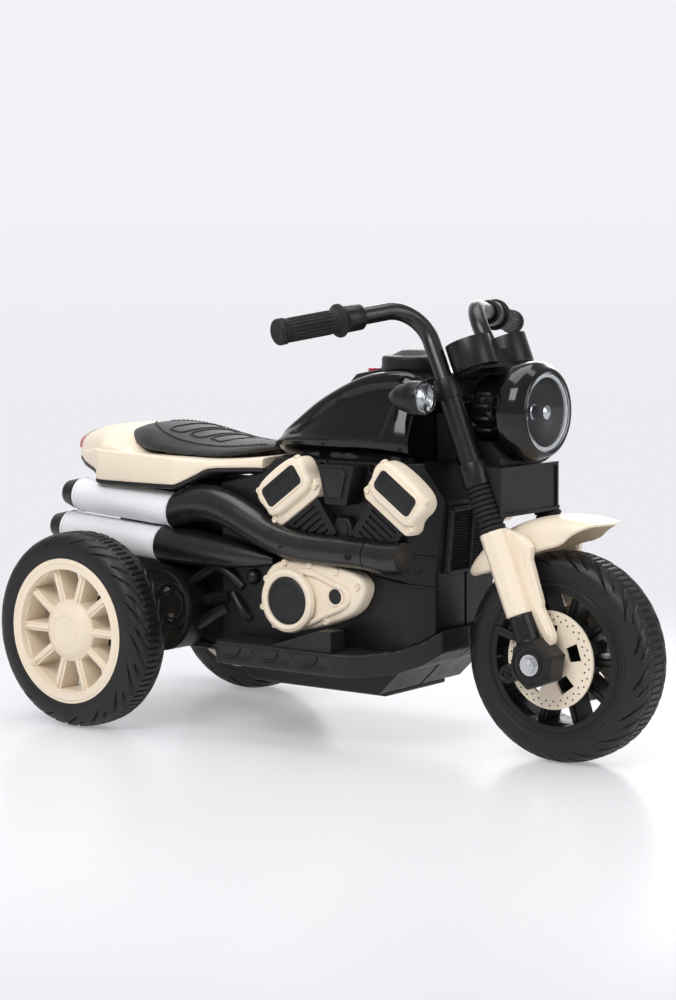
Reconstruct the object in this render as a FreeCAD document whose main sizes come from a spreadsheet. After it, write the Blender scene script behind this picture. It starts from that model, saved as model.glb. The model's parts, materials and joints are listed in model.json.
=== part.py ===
import FreeCAD, Part
import math
import os
import re

import Sketcher
from FreeCAD import Placement, Rotation, Vector

# A kids electric motorbike on three wheels, built piece by piece in millimetres.
# +X points forward, +Y to the rider's left and +Z up; the origin is on the floor, under the middle.
# Right-hand pieces are modelled and left-hand ones mirrored, except where the two sides differ.

SIZES = {
    # Layout of the whole bike
    "wheelbase": 597.0,
    "nose_gap": 10.5,
    "body_overhang": 26.5,
    "rear_track": 328.0,
    "tail_reach": 137.4,
    "rake_angle": 21.4,
    "running_clearance": 0.1,
    "seat_clearance": 0.2,
    "overrun": 2.0,
    # Tyres and rims
    "tyre_radius": 120.0,
    "tyre_width": 59.0,
    "rim_seat_radius": 84.0,
    "rim_lip_radius": 89.0,
    "rim_lip_width": 3.0,
    "rim_barrel_wall": 8.0,
    "rim_width": 58.0,
    "rear_web_outer": 20.0,
    "rear_web_inner": 10.0,
    "rear_hub_inner": 27.0,
    "hub_radius": 22.0,
    "front_web_half": 15.0,
    "front_hub_half": 31.0,
    "spoke_width": 11.0,
    "window_inner_radius": 38.0,
    "window_outer_radius": 74.0,
    "axle_radius": 5.0,
    "axle_nut_radius": 9.0,
    "axle_nut_thickness": 5.0,
    # Hub caps and brake discs
    "hub_cap_radius": 35.5,
    "hub_cap_depth": 9.0,
    "hub_cap_wall": 2.5,
    "hub_cap_flat_radius": 19.0,
    "hub_cap_cavity_radius": 14.0,
    "brake_disc_radius": 56.0,
    "brake_disc_thickness": 4.0,
    "disc_window_inner": 24.0,
    "disc_window_outer": 40.0,
    "disc_window_width": 20.0,
    # Fork, in the leaning frame at the front axle
    "leg_spacing": 120.0,
    "leg_setback": 3.0,
    "steering_setback": 31.0,
    "fork_tube_radius": 12.5,
    "fork_tube_foot": 120.0,
    "slider_foot": 57.0,
    "slider_top": 155.0,
    "slider_radius": 15.5,
    "slider_foot_radius": 14.5,
    "gaiter_top": 209.0,
    "gaiter_radius": 15.5,
    "gaiter_valley_radius": 13.2,
    "guard_length": 116.0,
    "guard_width": 22.0,
    "guard_thickness": 10.0,
    "carrier_radius": 29.0,
    "carrier_inner_y": 44.0,
    "carrier_width": 32.0,
    "carrier_stub_radius": 13.5,
    "caliper_boss_radius": 11.0,
    "caliper_reach": 46.0,
    "caliper_strut_width": 12.0,
    "front_axle_half": 84.0,
    "axle_washer_radius": 12.0,
    "axle_washer_thickness": 2.0,
    # Clamps and steering column
    "clamp_foot": 209.0,
    "clamp_sleeve_height": 27.0,
    "clamp_sleeve_radius": 16.0,
    "clamp_yoke_height": 20.0,
    "clamp_box_front": 49.0,
    "clamp_box_depth": 36.0,
    "clamp_box_width": 120.0,
    "clamp_box_foot_z": 279.0,
    "clamp_box_height": 56.0,
    "clamp_panel_rim": 4.0,
    "clamp_panel_depth": 2.0,
    "upper_clamp_foot": 313.0,
    "upper_clamp_height": 24.0,
    "upper_collar_radius": 14.0,
    "upper_tongue_height": 4.5,
    "upper_tongue_reach": 44.0,
    "shaft_radius": 7.0,
    "shaft_boss_radius": 13.0,
    "head_tube_radius": 17.0,
    "head_gap": 2.0,
    "bush_wall": 3.0,
    "bush_length": 14.0,
    "bush_flange_radius": 14.0,
    "bush_flange": 2.0,
    "head_web_width": 40.0,
    "head_web_setback": 34.0,
    "head_web_foot_setback": 18.0,
    # Fender round the front wheel
    "fender_radius": 160.0,
    "fender_half_width": 40.0,
    "fender_skirt": 26.0,
    "fender_wall": 3.0,
    "fender_tab_length": 16.0,
    "fender_tab_foot": 138.0,
    "fender_tab_height": 14.0,
    # Headlight, gauges and turn signals
    "headlight_setback": 24.5,
    "headlight_z": 395.0,
    "bezel_radius": 57.0,
    "bezel_depth": 34.0,
    "bezel_round": 12.0,
    "lens_radius": 46.0,
    "lens_dome": 4.0,
    "lens_thickness": 3.0,
    "reflector_depth": 22.0,
    "reflector_floor_radius": 18.0,
    "reflector_wall": 2.0,
    "housing_depth": 78.0,
    "housing_radius": 41.0,
    "housing_flare_depth": 16.0,
    "housing_wall": 3.0,
    "headlight_foot_width": 24.0,
    "headlight_foot_length": 9.0,
    "pod_radius": 26.0,
    "pod_height": 34.0,
    "pod_rim": 3.0,
    "pod_recess": 4.0,
    "pod_spacing": 74.0,
    "pod_forward": 27.0,
    "pod_bridge_length": 14.0,
    "pod_bridge_height": 18.0,
    "signal_setback": 116.5,
    "signal_y": 112.0,
    "signal_z": 414.0,
    "signal_radius": 19.0,
    "signal_length": 45.0,
    "signal_tail_radius": 6.0,
    "signal_stalk_radius": 6.0,
    "signal_lens_depth": 9.0,
    "signal_lens_radius": 17.5,
    # Handlebars and grips
    "bar_radius": 10.0,
    "bar_corner_setback": 167.5,
    "bar_corner_y": 50.0,
    "bar_corner_z": 515.0,
    "bar_end_setback": 226.5,
    "bar_end_y": 232.0,
    "bar_end_z": 489.0,
    "bar_bend_radius": 42.0,
    "grip_length": 86.0,
    "grip_radius": 13.5,
    "grip_end_radius": 14.8,
    "grip_end_width": 8.0,
    "grip_end_wall": 3.0,
    "grip_flange_radius": 19.0,
    "grip_flange_width": 5.0,
    "barrel_radius": 15.0,
    "barrel_length": 24.0,
    "barrel_gap": 3.0,
    # Body half shells
    "body_foot_z": 66.0,
    "body_height": 270.0,
    "body_half_width": 84.0,
    "body_wall": 3.0,
    "body_waist_half_width": 64.0,
    "body_waist_reach": 158.5,
    "body_nose_half_width": 46.0,
    "body_nose_taper": 32.0,
    "belly_thickness": 6.0,
    "belly_inset": 4.8,
    "belly_half_width": 60.0,
    # Radiator grille
    "grille_half_width": 44.0,
    "grille_lift": 1.1,
    "grille_height": 78.0,
    "grille_thickness": 7.0,
    "grille_border": 5.0,
    "grille_slat": 3.2,
    "grille_slot_depth": 4.0,
    # Footboards and pedal
    "footboard_rear_x": -115.0,
    "footboard_half_width": 139.0,
    "footboard_foot_z": 92.0,
    "footboard_height": 27.0,
    "bow_rise": 28.0,
    "footboard_recess_depth": 2.0,
    "footboard_recess_length": 40.0,
    "footboard_recess_height": 12.0,
    "pedal_rear_x": -20.0,
    "pedal_length": 84.0,
    "pedal_width": 26.0,
    "pedal_outer_y": 133.0,
    "pedal_rise": 24.0,
    "pedal_pin_radius": 2.0,
    "pedal_pin_height": 6.0,
    "pedal_wall": 3.0,
    "pedal_gap": 0.8,
    "pedal_well_depth": 16.0,
    # Tank cover and dash
    "tank_rear_x": -80.0,
    "tank_setback": 36.0,
    "tank_height": 103.0,
    "tank_half_width": 83.5,
    "tank_wall": 3.0,
    "dash_pod_radius": 38.0,
    "dash_setback": 80.0,
    "dash_pod_rise": 17.0,
    "dash_dome_height": 7.0,
    "dash_dome_radius": 27.0,
    "dash_tail_reach": 80.0,
    "dash_tail_half_width": 25.0,
    "dash_tail_sink": 5.0,
    "dash_depth": 60.0,
    "button_radius": 9.0,
    "button_height": 5.0,
    "button_travel": 2.0,
    "button_reach": 56.0,
    "button_gap": 0.4,
    "button_stand": 4.0,
    # Seat pad and tail cover
    "seat_overhang": 39.5,
    "seat_front_x": -88.0,
    "seat_half_width": 84.0,
    "seat_sink": 10.0,
    "seat_height": 41.0,
    "tail_front_x": -73.0,
    "tail_half_width": 112.0,
    "tail_drop": 39.0,
    "tail_height": 66.0,
    "tail_wall": 3.0,
    "tray_height": 5.0,
    "tail_light_depth": 13.0,
    # Exhaust
    "muffler_radius": 21.0,
    "muffler_y": 89.0,
    "muffler_length": 160.0,
    "muffler_rise_angle": 4.0,
    "upper_muffler_reach": 93.5,
    "upper_muffler_front_z": 265.0,
    "lower_muffler_reach": 71.5,
    "lower_muffler_front_z": 222.0,
    "muffler_cap_length": 22.0,
    "muffler_cap_end_radius": 15.0,
    "muffler_cap_recess": 8.0,
    "header_radius": 18.0,
    "header_setback": 23.0,
    "header_y": 101.0,
    "header_front_z": 231.0,
    "header_seam_width": 1.5,
    "lower_header_length": 175.0,
    # Engine dress
    "crank_x": 58.0,
    "crank_z": 190.0,
    "cylinder_angle": 35.5,
    "cylinder_start": 58.0,
    "cylinder_end": 106.0,
    "cylinder_width": 58.0,
    "cylinder_depth": 15.0,
    "fin_pitch": 8.0,
    "fin_groove_width": 40.6,
    "fin_groove": 3.0,
    "fin_depth": 3.0,
    "head_distance": 135.0,
    "head_width": 84.0,
    "head_height": 57.0,
    "head_depth": 24.0,
    "head_corner": 12.0,
    "head_insert_width": 56.0,
    "head_insert_height": 22.0,
    "head_insert_depth": 3.0,
    "air_box_width": 52.0,
    "air_box_foot_width": 30.0,
    "air_box_height": 46.0,
    "air_box_foot_z": 287.0,
    "air_box_depth": 28.0,
    "air_box_x": 56.0,
    "cover_x": -16.0,
    "cover_z": 171.0,
    "cover_radius": 47.0,
    "cover_tip_x": 71.0,
    "cover_tip_z": 187.0,
    "cover_tip_radius": 19.0,
    "cover_depth": 22.0,
    "cover_ring_depth": 6.0,
    "cover_ring_radius": 37.0,
    "cover_disc_radius": 28.0,
    "cover_disc_depth": 5.0,
    "cover_port_x": 50.0,
    "cover_port_z": 180.0,
    "cover_port_radius": 9.0,
    # Drive
    "gear_module": 1.5,
    "gear_width": 10.0,
    "gear_y": 70.0,
    "drive_line_angle": 19.0,
    "gearbox_radius": 54.0,
    "gearbox_axle_radius": 42.0,
    "gearbox_depth": 40.0,
    "gearbox_wall": 3.0,
    "drive_sleeve_radius": 11.0,
    "pinion_shaft_radius": 3.0,
    "idler_shaft_radius": 4.0,
    "motor_radius": 20.0,
    "motor_length": 44.0,
    "battery_length": 150.0,
    "battery_width": 66.0,
    "battery_height": 95.0,
    "battery_x": 10.0,
}

# Counts, and outlines as shares of the sizes that they follow

SPOKES = 10
DISC_WINDOWS = 5
GAITER_RIBS = 9
GRILLE_SLOTS = 12
TAIL_TOP_POINTS = 3
BELLY_FRONT_POINT = 9
BELLY_REAR_POINT = 10
PINION_TEETH = 12
IDLER_TEETH = 26
DRIVE_TEETH = 40
TYRE_HALF_shares = [(0.43, 0.0), (0.43, 0.15), (0.5, 0.2), (0.5, 0.55), (0.37, 0.92), (0.16, 1.0)]
BODY_OUTLINE_shares = [
    (0.0, 0.096), (0.0, 0.852), (0.335, 0.852), (0.507, 0.933), (0.548, 1.0), (0.963, 1.0),
    (1.0, 0.837), (0.984, 0.522), (0.984, 0.237), (0.85, 0.0), (0.467, 0.0), (0.396, 0.096),
]
GRILLE_BACK_shares = (BODY_OUTLINE_shares[7], BODY_OUTLINE_shares[6])
FOOTBOARD_shares = [(0.0, 0.75), (0.04, 1.0), (0.65, 1.0), (0.72, 0.92), (0.9, 0.12), (1.0, -0.5)]
BOW_shares = [(0.0, 0.0), (0.76, 0.0), (0.87, 0.14), (0.94, 0.45), (1.0, 0.95)]
FOOTBOARD_RECESS_shares = [0.16, 0.36, 0.56]
PEDAL_shares = [(0.0, -0.3), (0.0, 0.1), (0.78, 1.0), (1.0, 1.0), (1.0, -0.1)]
GUARD_shares = [(0.0, 1.0), (0.6, 0.92), (1.0, 0.76), (0.8, 0.2), (0.4, 0.0), (0.16, 0.16)]
TANK_STATION_shares = [
    # along, half width, height of the widest line, half width of the ridge, ridge and crown heights
    (0.0, 0.62, 0.155, 0.48, 0.194, 0.204),
    (0.08, 0.77, 0.194, 0.6, 0.311, 0.34),
    (0.184, 0.875, 0.223, 0.683, 0.437, 0.485),
    (0.349, 0.97, 0.262, 0.737, 0.65, 0.7),
    (0.538, 1.0, 0.291, 0.76, 0.835, 0.893),
    (0.693, 1.0, 0.301, 0.75, 0.942, 0.99),
    (0.88, 0.98, 0.301, 0.73, 0.98, 1.0),
    (1.0, 0.91, 0.275, 0.65, 0.91, 0.94),
]
SEAT_STATION_shares = [
    # along, half width, height of the underside and of the crown
    (0.0, 0.5, 0.04, 0.4), (0.05, 0.78, 0.02, 0.8), (0.17, 0.95, 0.0, 1.0), (0.35, 1.0, 0.0, 0.86),
    (0.55, 1.0, 0.0, 0.58), (0.75, 0.9, 0.1, 0.48), (0.91, 0.68, 0.28, 0.53), (1.0, 0.45, 0.36, 0.56),
]
SEAT_SECTION_shares = [(0.93, 0.0), (1.0, 0.3), (0.93, 0.6), (0.76, 0.82), (0.42, 0.96)]
TAIL_PLAN_shares = [(0.0, 0.76), (0.2, 0.88), (0.36, 1.0), (0.7, 1.0)]
TAIL_SIDE_shares = [
    (0.0, 0.58), (0.26, 0.5), (0.735, 0.6), (0.735, 0.0), (0.36, 0.0), (0.22, 0.34), (0.0, 0.4)
]
TAIL_HUMP_shares = [
    (0.735, 0.8, 0.15, 1.0), (0.79, 0.73, 0.2, 1.0), (0.89, 0.56, 0.3, 0.93), (1.0, 0.27, 0.42, 0.8)
]
FENDER_STATION_shares = [
    # turn from level forward in quarter circles, radius, half width and skirt
    (1.53, 0.87, 0.3, 0.2), (1.42, 0.93, 0.72, 0.55), (1.2, 0.985, 0.95, 0.9), (1.0, 1.0, 1.0, 1.0),
    (0.87, 1.02, 0.98, 0.7), (0.79, 1.045, 0.72, 0.3), (0.755, 1.06, 0.3, 0.16),
]
HEADER_shares = [
    # along from the muffler, way out to the header's own line, height above its front end, radius
    (0.0, 0.0, 1.0, 1.25), (0.1, 0.15, 1.3, 1.28), (0.22, 0.4, 1.25, 1.24), (0.36, 0.75, 0.75, 1.12),
    (0.5, 1.0, 0.25, 1.03), (0.68, 1.0, 0.05, 1.0), (0.86, 1.0, 0.0, 1.0), (1.0, 1.0, 0.0, 1.0),
]
LOWER_HEADER_shares = [(0.0, 0.0, 1.25), (0.25, -0.05, 1.25), (0.6, -0.2, 1.0), (1.0, -0.4, 0.35)]
HEADER_SEAM_share = 0.86
SHOULDER_share = 0.72
HUMP_SECTION_shares = [(0.96, 0.0), (1.0, 0.72), (0.7, 0.9), (0.3, 1.0)]
TAIL_LIGHT_shares = [(0.0, 0.94), (0.5, 0.88), (1.0, 0.55)]
LIGHT_SECTION_shares = [(0.6, -1.0), (1.0, -0.6), (1.0, 0.5), (0.6, 1.0)]
HALF_TOOTH_share = 0.5
DISC_WINDOW_share = 0.8
LENS_STEP_share = 0.6
LENS_LIP_share = 0.9
SIGNAL_NECK_shares = (0.75, 0.72)
SIGNAL_DOME_shares = (0.8, 0.75, 0.35)
TOOTH_shares = [(-0.31, -1.0), (-0.2, 0.0), (-0.09, 0.75), (0.09, 0.75), (0.2, 0.0), (0.31, -1.0)]

# The document and its sheet of sizes

DOC = FreeCAD.newDocument("kids_electric_motorbike")
SHEET = DOC.addObject("Spreadsheet::Sheet", "Sizes")
for row, (alias, value) in enumerate(SIZES.items(), start=1):
    SHEET.set(f"A{row}", alias)
    SHEET.set(f"B{row}", str(value))
    SHEET.setAlias(f"B{row}", alias)
DOC.recompute()

PIECES = []
FORMULA_FUNCTIONS = {"sin", "cos", "tan"}
ZERO = "0 * overrun"
MIDDLE = "(tail_reach - tyre_radius) / 2"
FRONT_AXLE = f"{MIDDLE} + wheelbase / 2"
REAR_AXLE = f"{MIDDLE} - wheelbase / 2"
BODY_REAR = "-wheelbase / 2 - body_overhang"
BODY_LENGTH = "wheelbase + body_overhang - tyre_radius - nose_gap"
RIGHT = -1
BOTH_SIDES = (-1, 1)


def size(alias):
    """The sheet's value of one size."""
    return float(SHEET.get(alias))


def bound(formula):
    """A formula of size names, written on the sheet's cells."""
    def with_sheet(match):
        word = match.group(0)
        return word if word in FORMULA_FUNCTIONS else f"Sizes.{word}"
    return re.sub(r"[a-z][a-z_]*", with_sheet, formula)


def middle_x():
    """The bike's mid wheelbase, seen from the origin."""
    return (size("tail_reach") - size("tyre_radius")) / 2


def front_axle_x():
    """Front axle, from the mid wheelbase."""
    return size("wheelbase") / 2


def rear_axle_x():
    """Rear axle, from the mid wheelbase."""
    return -size("wheelbase") / 2


def nose_x():
    """Front end of the body, a gap behind the front tyre."""
    return front_axle_x() - size("tyre_radius") - size("nose_gap")


def body_rear_x():
    """Rear end of the body."""
    return rear_axle_x() - size("body_overhang")


def body_top_z():
    """Height of the body's top."""
    return size("body_foot_z") + size("body_height")


def tank_top_z():
    """Height of the tank cover's top."""
    return body_top_z() + size("tank_height")


def tail_foot_z():
    """Height of the tail cover's lower edge."""
    return body_top_z() - size("tail_drop")


def dash_pod_x():
    """Middle of the dash's round pod."""
    return nose_x() - size("dash_setback")


def dash_tail_z():
    """Height of the dash tongue at its rear."""
    return tank_top_z() - size("dash_tail_sink")


def keep(piece, label):
    """Give a finished sub-part its name and put it on the list of pieces."""
    piece.Label = label
    PIECES.append(piece)
    return piece


def place(piece, x=MIDDLE, y=ZERO, z=ZERO, turn=None):
    """Bind a sub-part's place to the sheet, after an optional turn."""
    if turn is not None:
        piece.Placement = Placement(Vector(), turn)
    for axis, formula in zip("xyz", (x, y, z)):
        piece.setExpression(f".Placement.Base.{axis}", bound(formula))
    return piece


def fork_turn():
    """The lean of the fork: its own Z runs up the legs."""
    return Rotation(Vector(0, 1, 0), -size("rake_angle"))


def new_body(name):
    """An empty body for sketched features."""
    return DOC.addObject("PartDesign::Body", name)


def draw(body, plane_role, corners, lift=None):
    """A closed outline on one of the body's own planes, each corner bound to the sheet."""
    plane = next(item for item in body.Origin.OriginFeatures if item.Role == plane_role)
    sketch = body.newObject("Sketcher::SketchObject", f"{body.Name}_outline")
    sketch.AttachmentSupport = [(plane, "")]
    sketch.MapMode = "FlatFace"
    if lift is not None:
        sketch.setExpression(".AttachmentOffset.Base.z", bound(lift))
    count = len(corners)
    ring = [
        Vector(math.cos(2 * math.pi * k / count), math.sin(2 * math.pi * k / count), 0)
        for k in range(count)
    ]
    for k in range(count):
        sketch.addGeometry(Part.LineSegment(ring[k], ring[(k + 1) % count]), False)
    for k in range(count):
        sketch.addConstraint(Sketcher.Constraint("Coincident", k, 2, (k + 1) % count, 1))
    for k, corner in enumerate(corners):
        for kind, formula, start in zip(("DistanceX", "DistanceY"), corner, ring[k]):
            index = sketch.addConstraint(Sketcher.Constraint(kind, -1, 1, k, 1, start))
            sketch.setExpression(f"Constraints[{index}]", bound(formula))
    return sketch


def revolve(body, plane_role, corners, axis="H_Axis"):
    """A full turn of an outline about one axis of its sketch."""
    sketch = draw(body, plane_role, corners)
    turned = body.newObject("PartDesign::Revolution", f"{body.Name}_turned")
    turned.Profile = sketch
    turned.ReferenceAxis = (sketch, [axis])
    turned.Angle = 360
    return turned


def pad(body, plane_role, corners, length, lift=None):
    """A straight block on an outline."""
    sketch = draw(body, plane_role, corners, lift)
    block = body.newObject("PartDesign::Pad", f"{body.Name}_pad")
    block.Profile = sketch
    block.setExpression("Length", bound(length))
    return block


def cut_windows(body, plane_role, corners, count):
    """Through windows of one outline, repeated round the sketch's normal."""
    sketch = draw(body, plane_role, corners)
    DOC.recompute()
    before = body.Shape.Volume
    window = body.newObject("PartDesign::Pocket", f"{body.Name}_window")
    window.Profile = sketch
    window.Type = "ThroughAll"
    window.Midplane = True
    pattern = body.newObject("PartDesign::PolarPattern", f"{body.Name}_windows")
    pattern.Originals = [window]
    pattern.Axis = (sketch, ["N_Axis"])
    pattern.Angle = 360
    pattern.Occurrences = count
    body.Tip = pattern
    DOC.recompute()
    if body.Shape.Volume >= before:
        raise ValueError(f"{body.Name}: the windows cut nothing")


def feature(label, shape, placement=None):
    """A sub-part whose shape is worked out from the sheet's sizes."""
    piece = DOC.addObject("Part::Feature", label)
    piece.Shape = shape
    piece.Placement = placement or Placement(Vector(middle_x(), 0, 0), Rotation())
    return keep(piece, label)


def fork_placement():
    """The leaning frame at the front axle."""
    return Placement(Vector(middle_x() + front_axle_x(), 0, size("tyre_radius")), fork_turn())


def mirror(source, label):
    """The left-hand copy of a right-hand piece."""
    copy = DOC.addObject("Part::Mirroring", label)
    copy.Source = source
    copy.Normal = Vector(0, 1, 0)
    return copy


def pair(source, label):
    """A right-hand piece and its left-hand copy, kept as one group."""
    source.Label = f"{label}_right_half"
    group = DOC.addObject("Part::Compound", label)
    group.Links = [source, mirror(source, f"{label}_left_half")]
    return keep(group, label)


def both(source, name):
    """A right-hand piece and its left-hand copy, kept as two pieces."""
    keep(source, f"{name}_right")
    return keep(mirror(source, f"{name}_left"), f"{name}_left")


def mirrored_group(label, solids, placement=None):
    """Right-hand solids and their left-hand copies, kept as one piece."""
    left = Part.Compound(solids).mirror(Vector(), Vector(0, 1, 0))
    return feature(label, Part.Compound(solids + left.Solids), placement)


def side_prism(points, near_y, far_y, side=RIGHT):
    """A block on an outline of X and Z, between two distances out from the middle plane."""
    corners = [Vector(x, side * near_y, z) for x, z in points]
    face = Part.Face(Part.makePolygon(corners + corners[:1]))
    return face.extrude(Vector(0, side * (far_y - near_y), 0))


def plan_prism(points, foot_z, height):
    """A block on an outline of X and Y, between two heights."""
    corners = [Vector(x, y, foot_z) for x, y in points]
    face = Part.Face(Part.makePolygon(corners + corners[:1]))
    return face.extrude(Vector(0, 0, height))


def ring_points(radius, count, centre=(0, 0), start=0.0):
    """Corners of a regular outline."""
    turns = [start + 2 * math.pi * k / count for k in range(count)]
    return [(centre[0] + radius * math.cos(a), centre[1] + radius * math.sin(a)) for a in turns]


def cross_cylinder(radius, x, z, near_y, far_y, side=RIGHT):
    """A round bar across the bike, between two distances out from the middle plane."""
    return Part.makeCylinder(radius, far_y - near_y, Vector(x, side * near_y, z), Vector(0, side, 0))


def loft(rings, ruled=False):
    """A solid through closed outlines of points."""
    wires = [Part.makePolygon(points + points[:1]) for points in rings]
    return Part.makeLoft(wires, True, ruled)


def steady_circle(centre, way, radius):
    """A circle across a direction, its seam always on the level side."""
    circle = Part.Circle(centre, way, radius)
    circle.XAxis = way.cross(Vector(0, 0, 1))
    return Part.Wire(circle.toShape())


def round_loft(stations):
    """A solid through circles given by centre, direction and radius."""
    return Part.makeLoft([steady_circle(*station) for station in stations], True, False)


def fused(shapes):
    """One solid of several overlapping ones."""
    return shapes[0].multiFuse(shapes[1:]).removeSplitter()


# Wheels

def tyre_profile():
    """The tyre's section as formulas of distance across and radius."""
    seat = "rim_seat_radius + running_clearance"
    half = [
        (f"{across} * tyre_width", f"{seat} + {out} * (tyre_radius - ({seat}))")
        for across, out in TYRE_HALF_shares
    ]
    return half + [(f"-({across})", radius) for across, radius in reversed(half)]


def make_tyre(name):
    """A tyre about its own axle."""
    body = new_body(name)
    revolve(body, "YZ_Plane", tyre_profile())
    return body


def rim_profile(outer_face, inner_face, hub_end):
    """The rim's section: barrel with two lips, web and hub, bored for the axle."""
    barrel = "rim_seat_radius - rim_barrel_wall"
    bore = "axle_radius + running_clearance"
    return [
        (outer_face, bore), (outer_face, barrel), ("rim_width / 2", barrel),
        ("rim_width / 2", "rim_lip_radius"), ("rim_width / 2 - rim_lip_width", "rim_lip_radius"),
        ("rim_width / 2 - rim_lip_width", "rim_seat_radius"),
        ("rim_lip_width - rim_width / 2", "rim_seat_radius"),
        ("rim_lip_width - rim_width / 2", "rim_lip_radius"), ("-rim_width / 2", "rim_lip_radius"),
        ("-rim_width / 2", barrel), (f"-({inner_face})", barrel), (f"-({inner_face})", "hub_radius"),
        (f"-({hub_end})", "hub_radius"), (f"-({hub_end})", bore),
    ]


def wedge_window(inner, outer, gap, count):
    """One window between two spokes, centred on the sketch's upward axis."""
    spread_share = math.tan(math.pi / count)
    low = f"{spread_share} * {inner} - {gap} / 2"
    high = f"{spread_share} * {outer} - {gap} / 2"
    return [(f"-({low})", inner), (low, inner), (high, outer), (f"-({high})", outer)]


def make_rim(name, outer_face, inner_face, hub_end, front_hub=False):
    """A spoked rim about its own axle."""
    body = new_body(name)
    profile = rim_profile(outer_face, inner_face, hub_end)
    if front_hub:
        profile = [
            (hub_end, profile[0][1]), (hub_end, "hub_radius"), (outer_face, "hub_radius")
        ] + profile[1:]
    revolve(body, "YZ_Plane", profile)
    cut_windows(
        body, "XZ_Plane",
        wedge_window("window_inner_radius", "window_outer_radius", "spoke_width", SPOKES), SPOKES
    )
    return body


def make_hub_cap():
    """A domed cap over the axle nut, on the outer face of a rear rim."""
    body = new_body("hub_cap")
    foot = "rear_web_outer"
    ceiling = "rear_web_outer + hub_cap_depth - hub_cap_wall"
    top = "rear_web_outer + hub_cap_depth"
    revolve(body, "YZ_Plane", [
        (foot, "hub_cap_cavity_radius"), (foot, "hub_cap_radius"),
        (f"{foot} + hub_cap_wall", "hub_cap_radius"),
        (f"{top} - hub_cap_wall / 2", "(hub_cap_radius + hub_cap_flat_radius) / 2"),
        (top, "hub_cap_flat_radius"), (top, ZERO), (ceiling, ZERO),
        (ceiling, "hub_cap_cavity_radius"),
    ])
    return body


def make_brake_disc():
    """A brake disc on the right face of the front hub."""
    body = new_body("brake_disc")
    near = "-front_hub_half"
    far = "-(front_hub_half + brake_disc_thickness)"
    bore = "axle_radius + 2 * running_clearance"
    revolve(
        body, "YZ_Plane",
        [(near, bore), (near, "brake_disc_radius"), (far, "brake_disc_radius"), (far, bore)]
    )
    half = "disc_window_width / 2"
    slim = f"{DISC_WINDOW_share} * {half}"
    corners = [(f"-{slim}", "disc_window_inner"), (slim, "disc_window_inner"),
               (half, "disc_window_outer"), (f"-{half}", "disc_window_outer")]
    cut_windows(body, "XZ_Plane", corners, DISC_WINDOWS)
    return body


def make_wheels():
    """Three wheels; the right rear one turned to face out and mirrored for the left."""
    outward = Rotation(Vector(0, 0, 1), 180)
    right_pieces = {
        "rear_tyre": make_tyre("rear_tyre"),
        "rear_rim": make_rim("rear_rim", "rear_web_outer", "rear_web_inner", "rear_hub_inner"),
        "hub_cap": make_hub_cap(),
    }
    for name, piece in right_pieces.items():
        place(piece, REAR_AXLE, "-rear_track / 2", "tyre_radius", outward)
        both(piece, name)
    front_rim = make_rim(
        "front_rim_body", "front_web_half", "front_web_half", "front_hub_half", front_hub=True
    )
    for name, piece in {"front_tyre": make_tyre("front_tyre_body"), "front_rim": front_rim}.items():
        keep(place(piece, FRONT_AXLE, z="tyre_radius"), name)
    pair(place(make_brake_disc(), FRONT_AXLE, z="tyre_radius"), "brake_discs")


def nutted_axle(label, x, half, nut_y, washer=False):
    """An axle bolt across the bike with a nut at each end, over a washer where it has one."""
    axle_z = size("tyre_radius")
    solids = [cross_cylinder(size("axle_radius"), x, axle_z, -half, half)]
    points = ring_points(size("axle_nut_radius"), 6, (x, axle_z))
    for side in BOTH_SIDES:
        solids.append(side_prism(points, nut_y, nut_y + size("axle_nut_thickness"), side))
        if washer:
            washer_y = nut_y - size("axle_washer_thickness")
            solids.append(cross_cylinder(size("axle_washer_radius"), x, axle_z, washer_y, nut_y, side))
    feature(label, fused(solids))


def make_axles():
    """The rear axle, nutted outside its wheels, and the front axle, nutted outside its carriers."""
    rear_nut_y = size("rear_track") / 2 + size("rear_web_outer") + size("seat_clearance")
    nutted_axle("rear_axle", -size("wheelbase") / 2, rear_nut_y + size("axle_nut_thickness"), rear_nut_y)
    nut_y = size("carrier_inner_y") + size("carrier_width") + size("axle_washer_thickness")
    nutted_axle("front_axle", size("wheelbase") / 2, size("front_axle_half"), nut_y, washer=True)


# Front fork, in its leaning frame

def leg_y():
    """Distance of a fork leg from the middle plane."""
    return size("leg_spacing") / 2


def leg_cylinder(radius, foot, top, side=RIGHT):
    """A round length of one fork leg."""
    return Part.makeCylinder(radius, top - foot, Vector(-size("leg_setback"), side * leg_y(), foot))


def column_cylinder(radius, foot, top):
    """A round length on the steering axis."""
    return Part.makeCylinder(radius, top - foot, Vector(-size("steering_setback"), 0, foot))


def fork_top():
    """Height of the upper clamp's top along the leg."""
    return size("upper_clamp_foot") + size("upper_clamp_height")


def make_fork_tubes():
    """The two inner tubes of the fork."""
    tubes = [
        leg_cylinder(size("fork_tube_radius"), size("fork_tube_foot"), fork_top(), side)
        for side in BOTH_SIDES
    ]
    feature("fork_tubes", Part.Compound(tubes), fork_placement())


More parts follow.
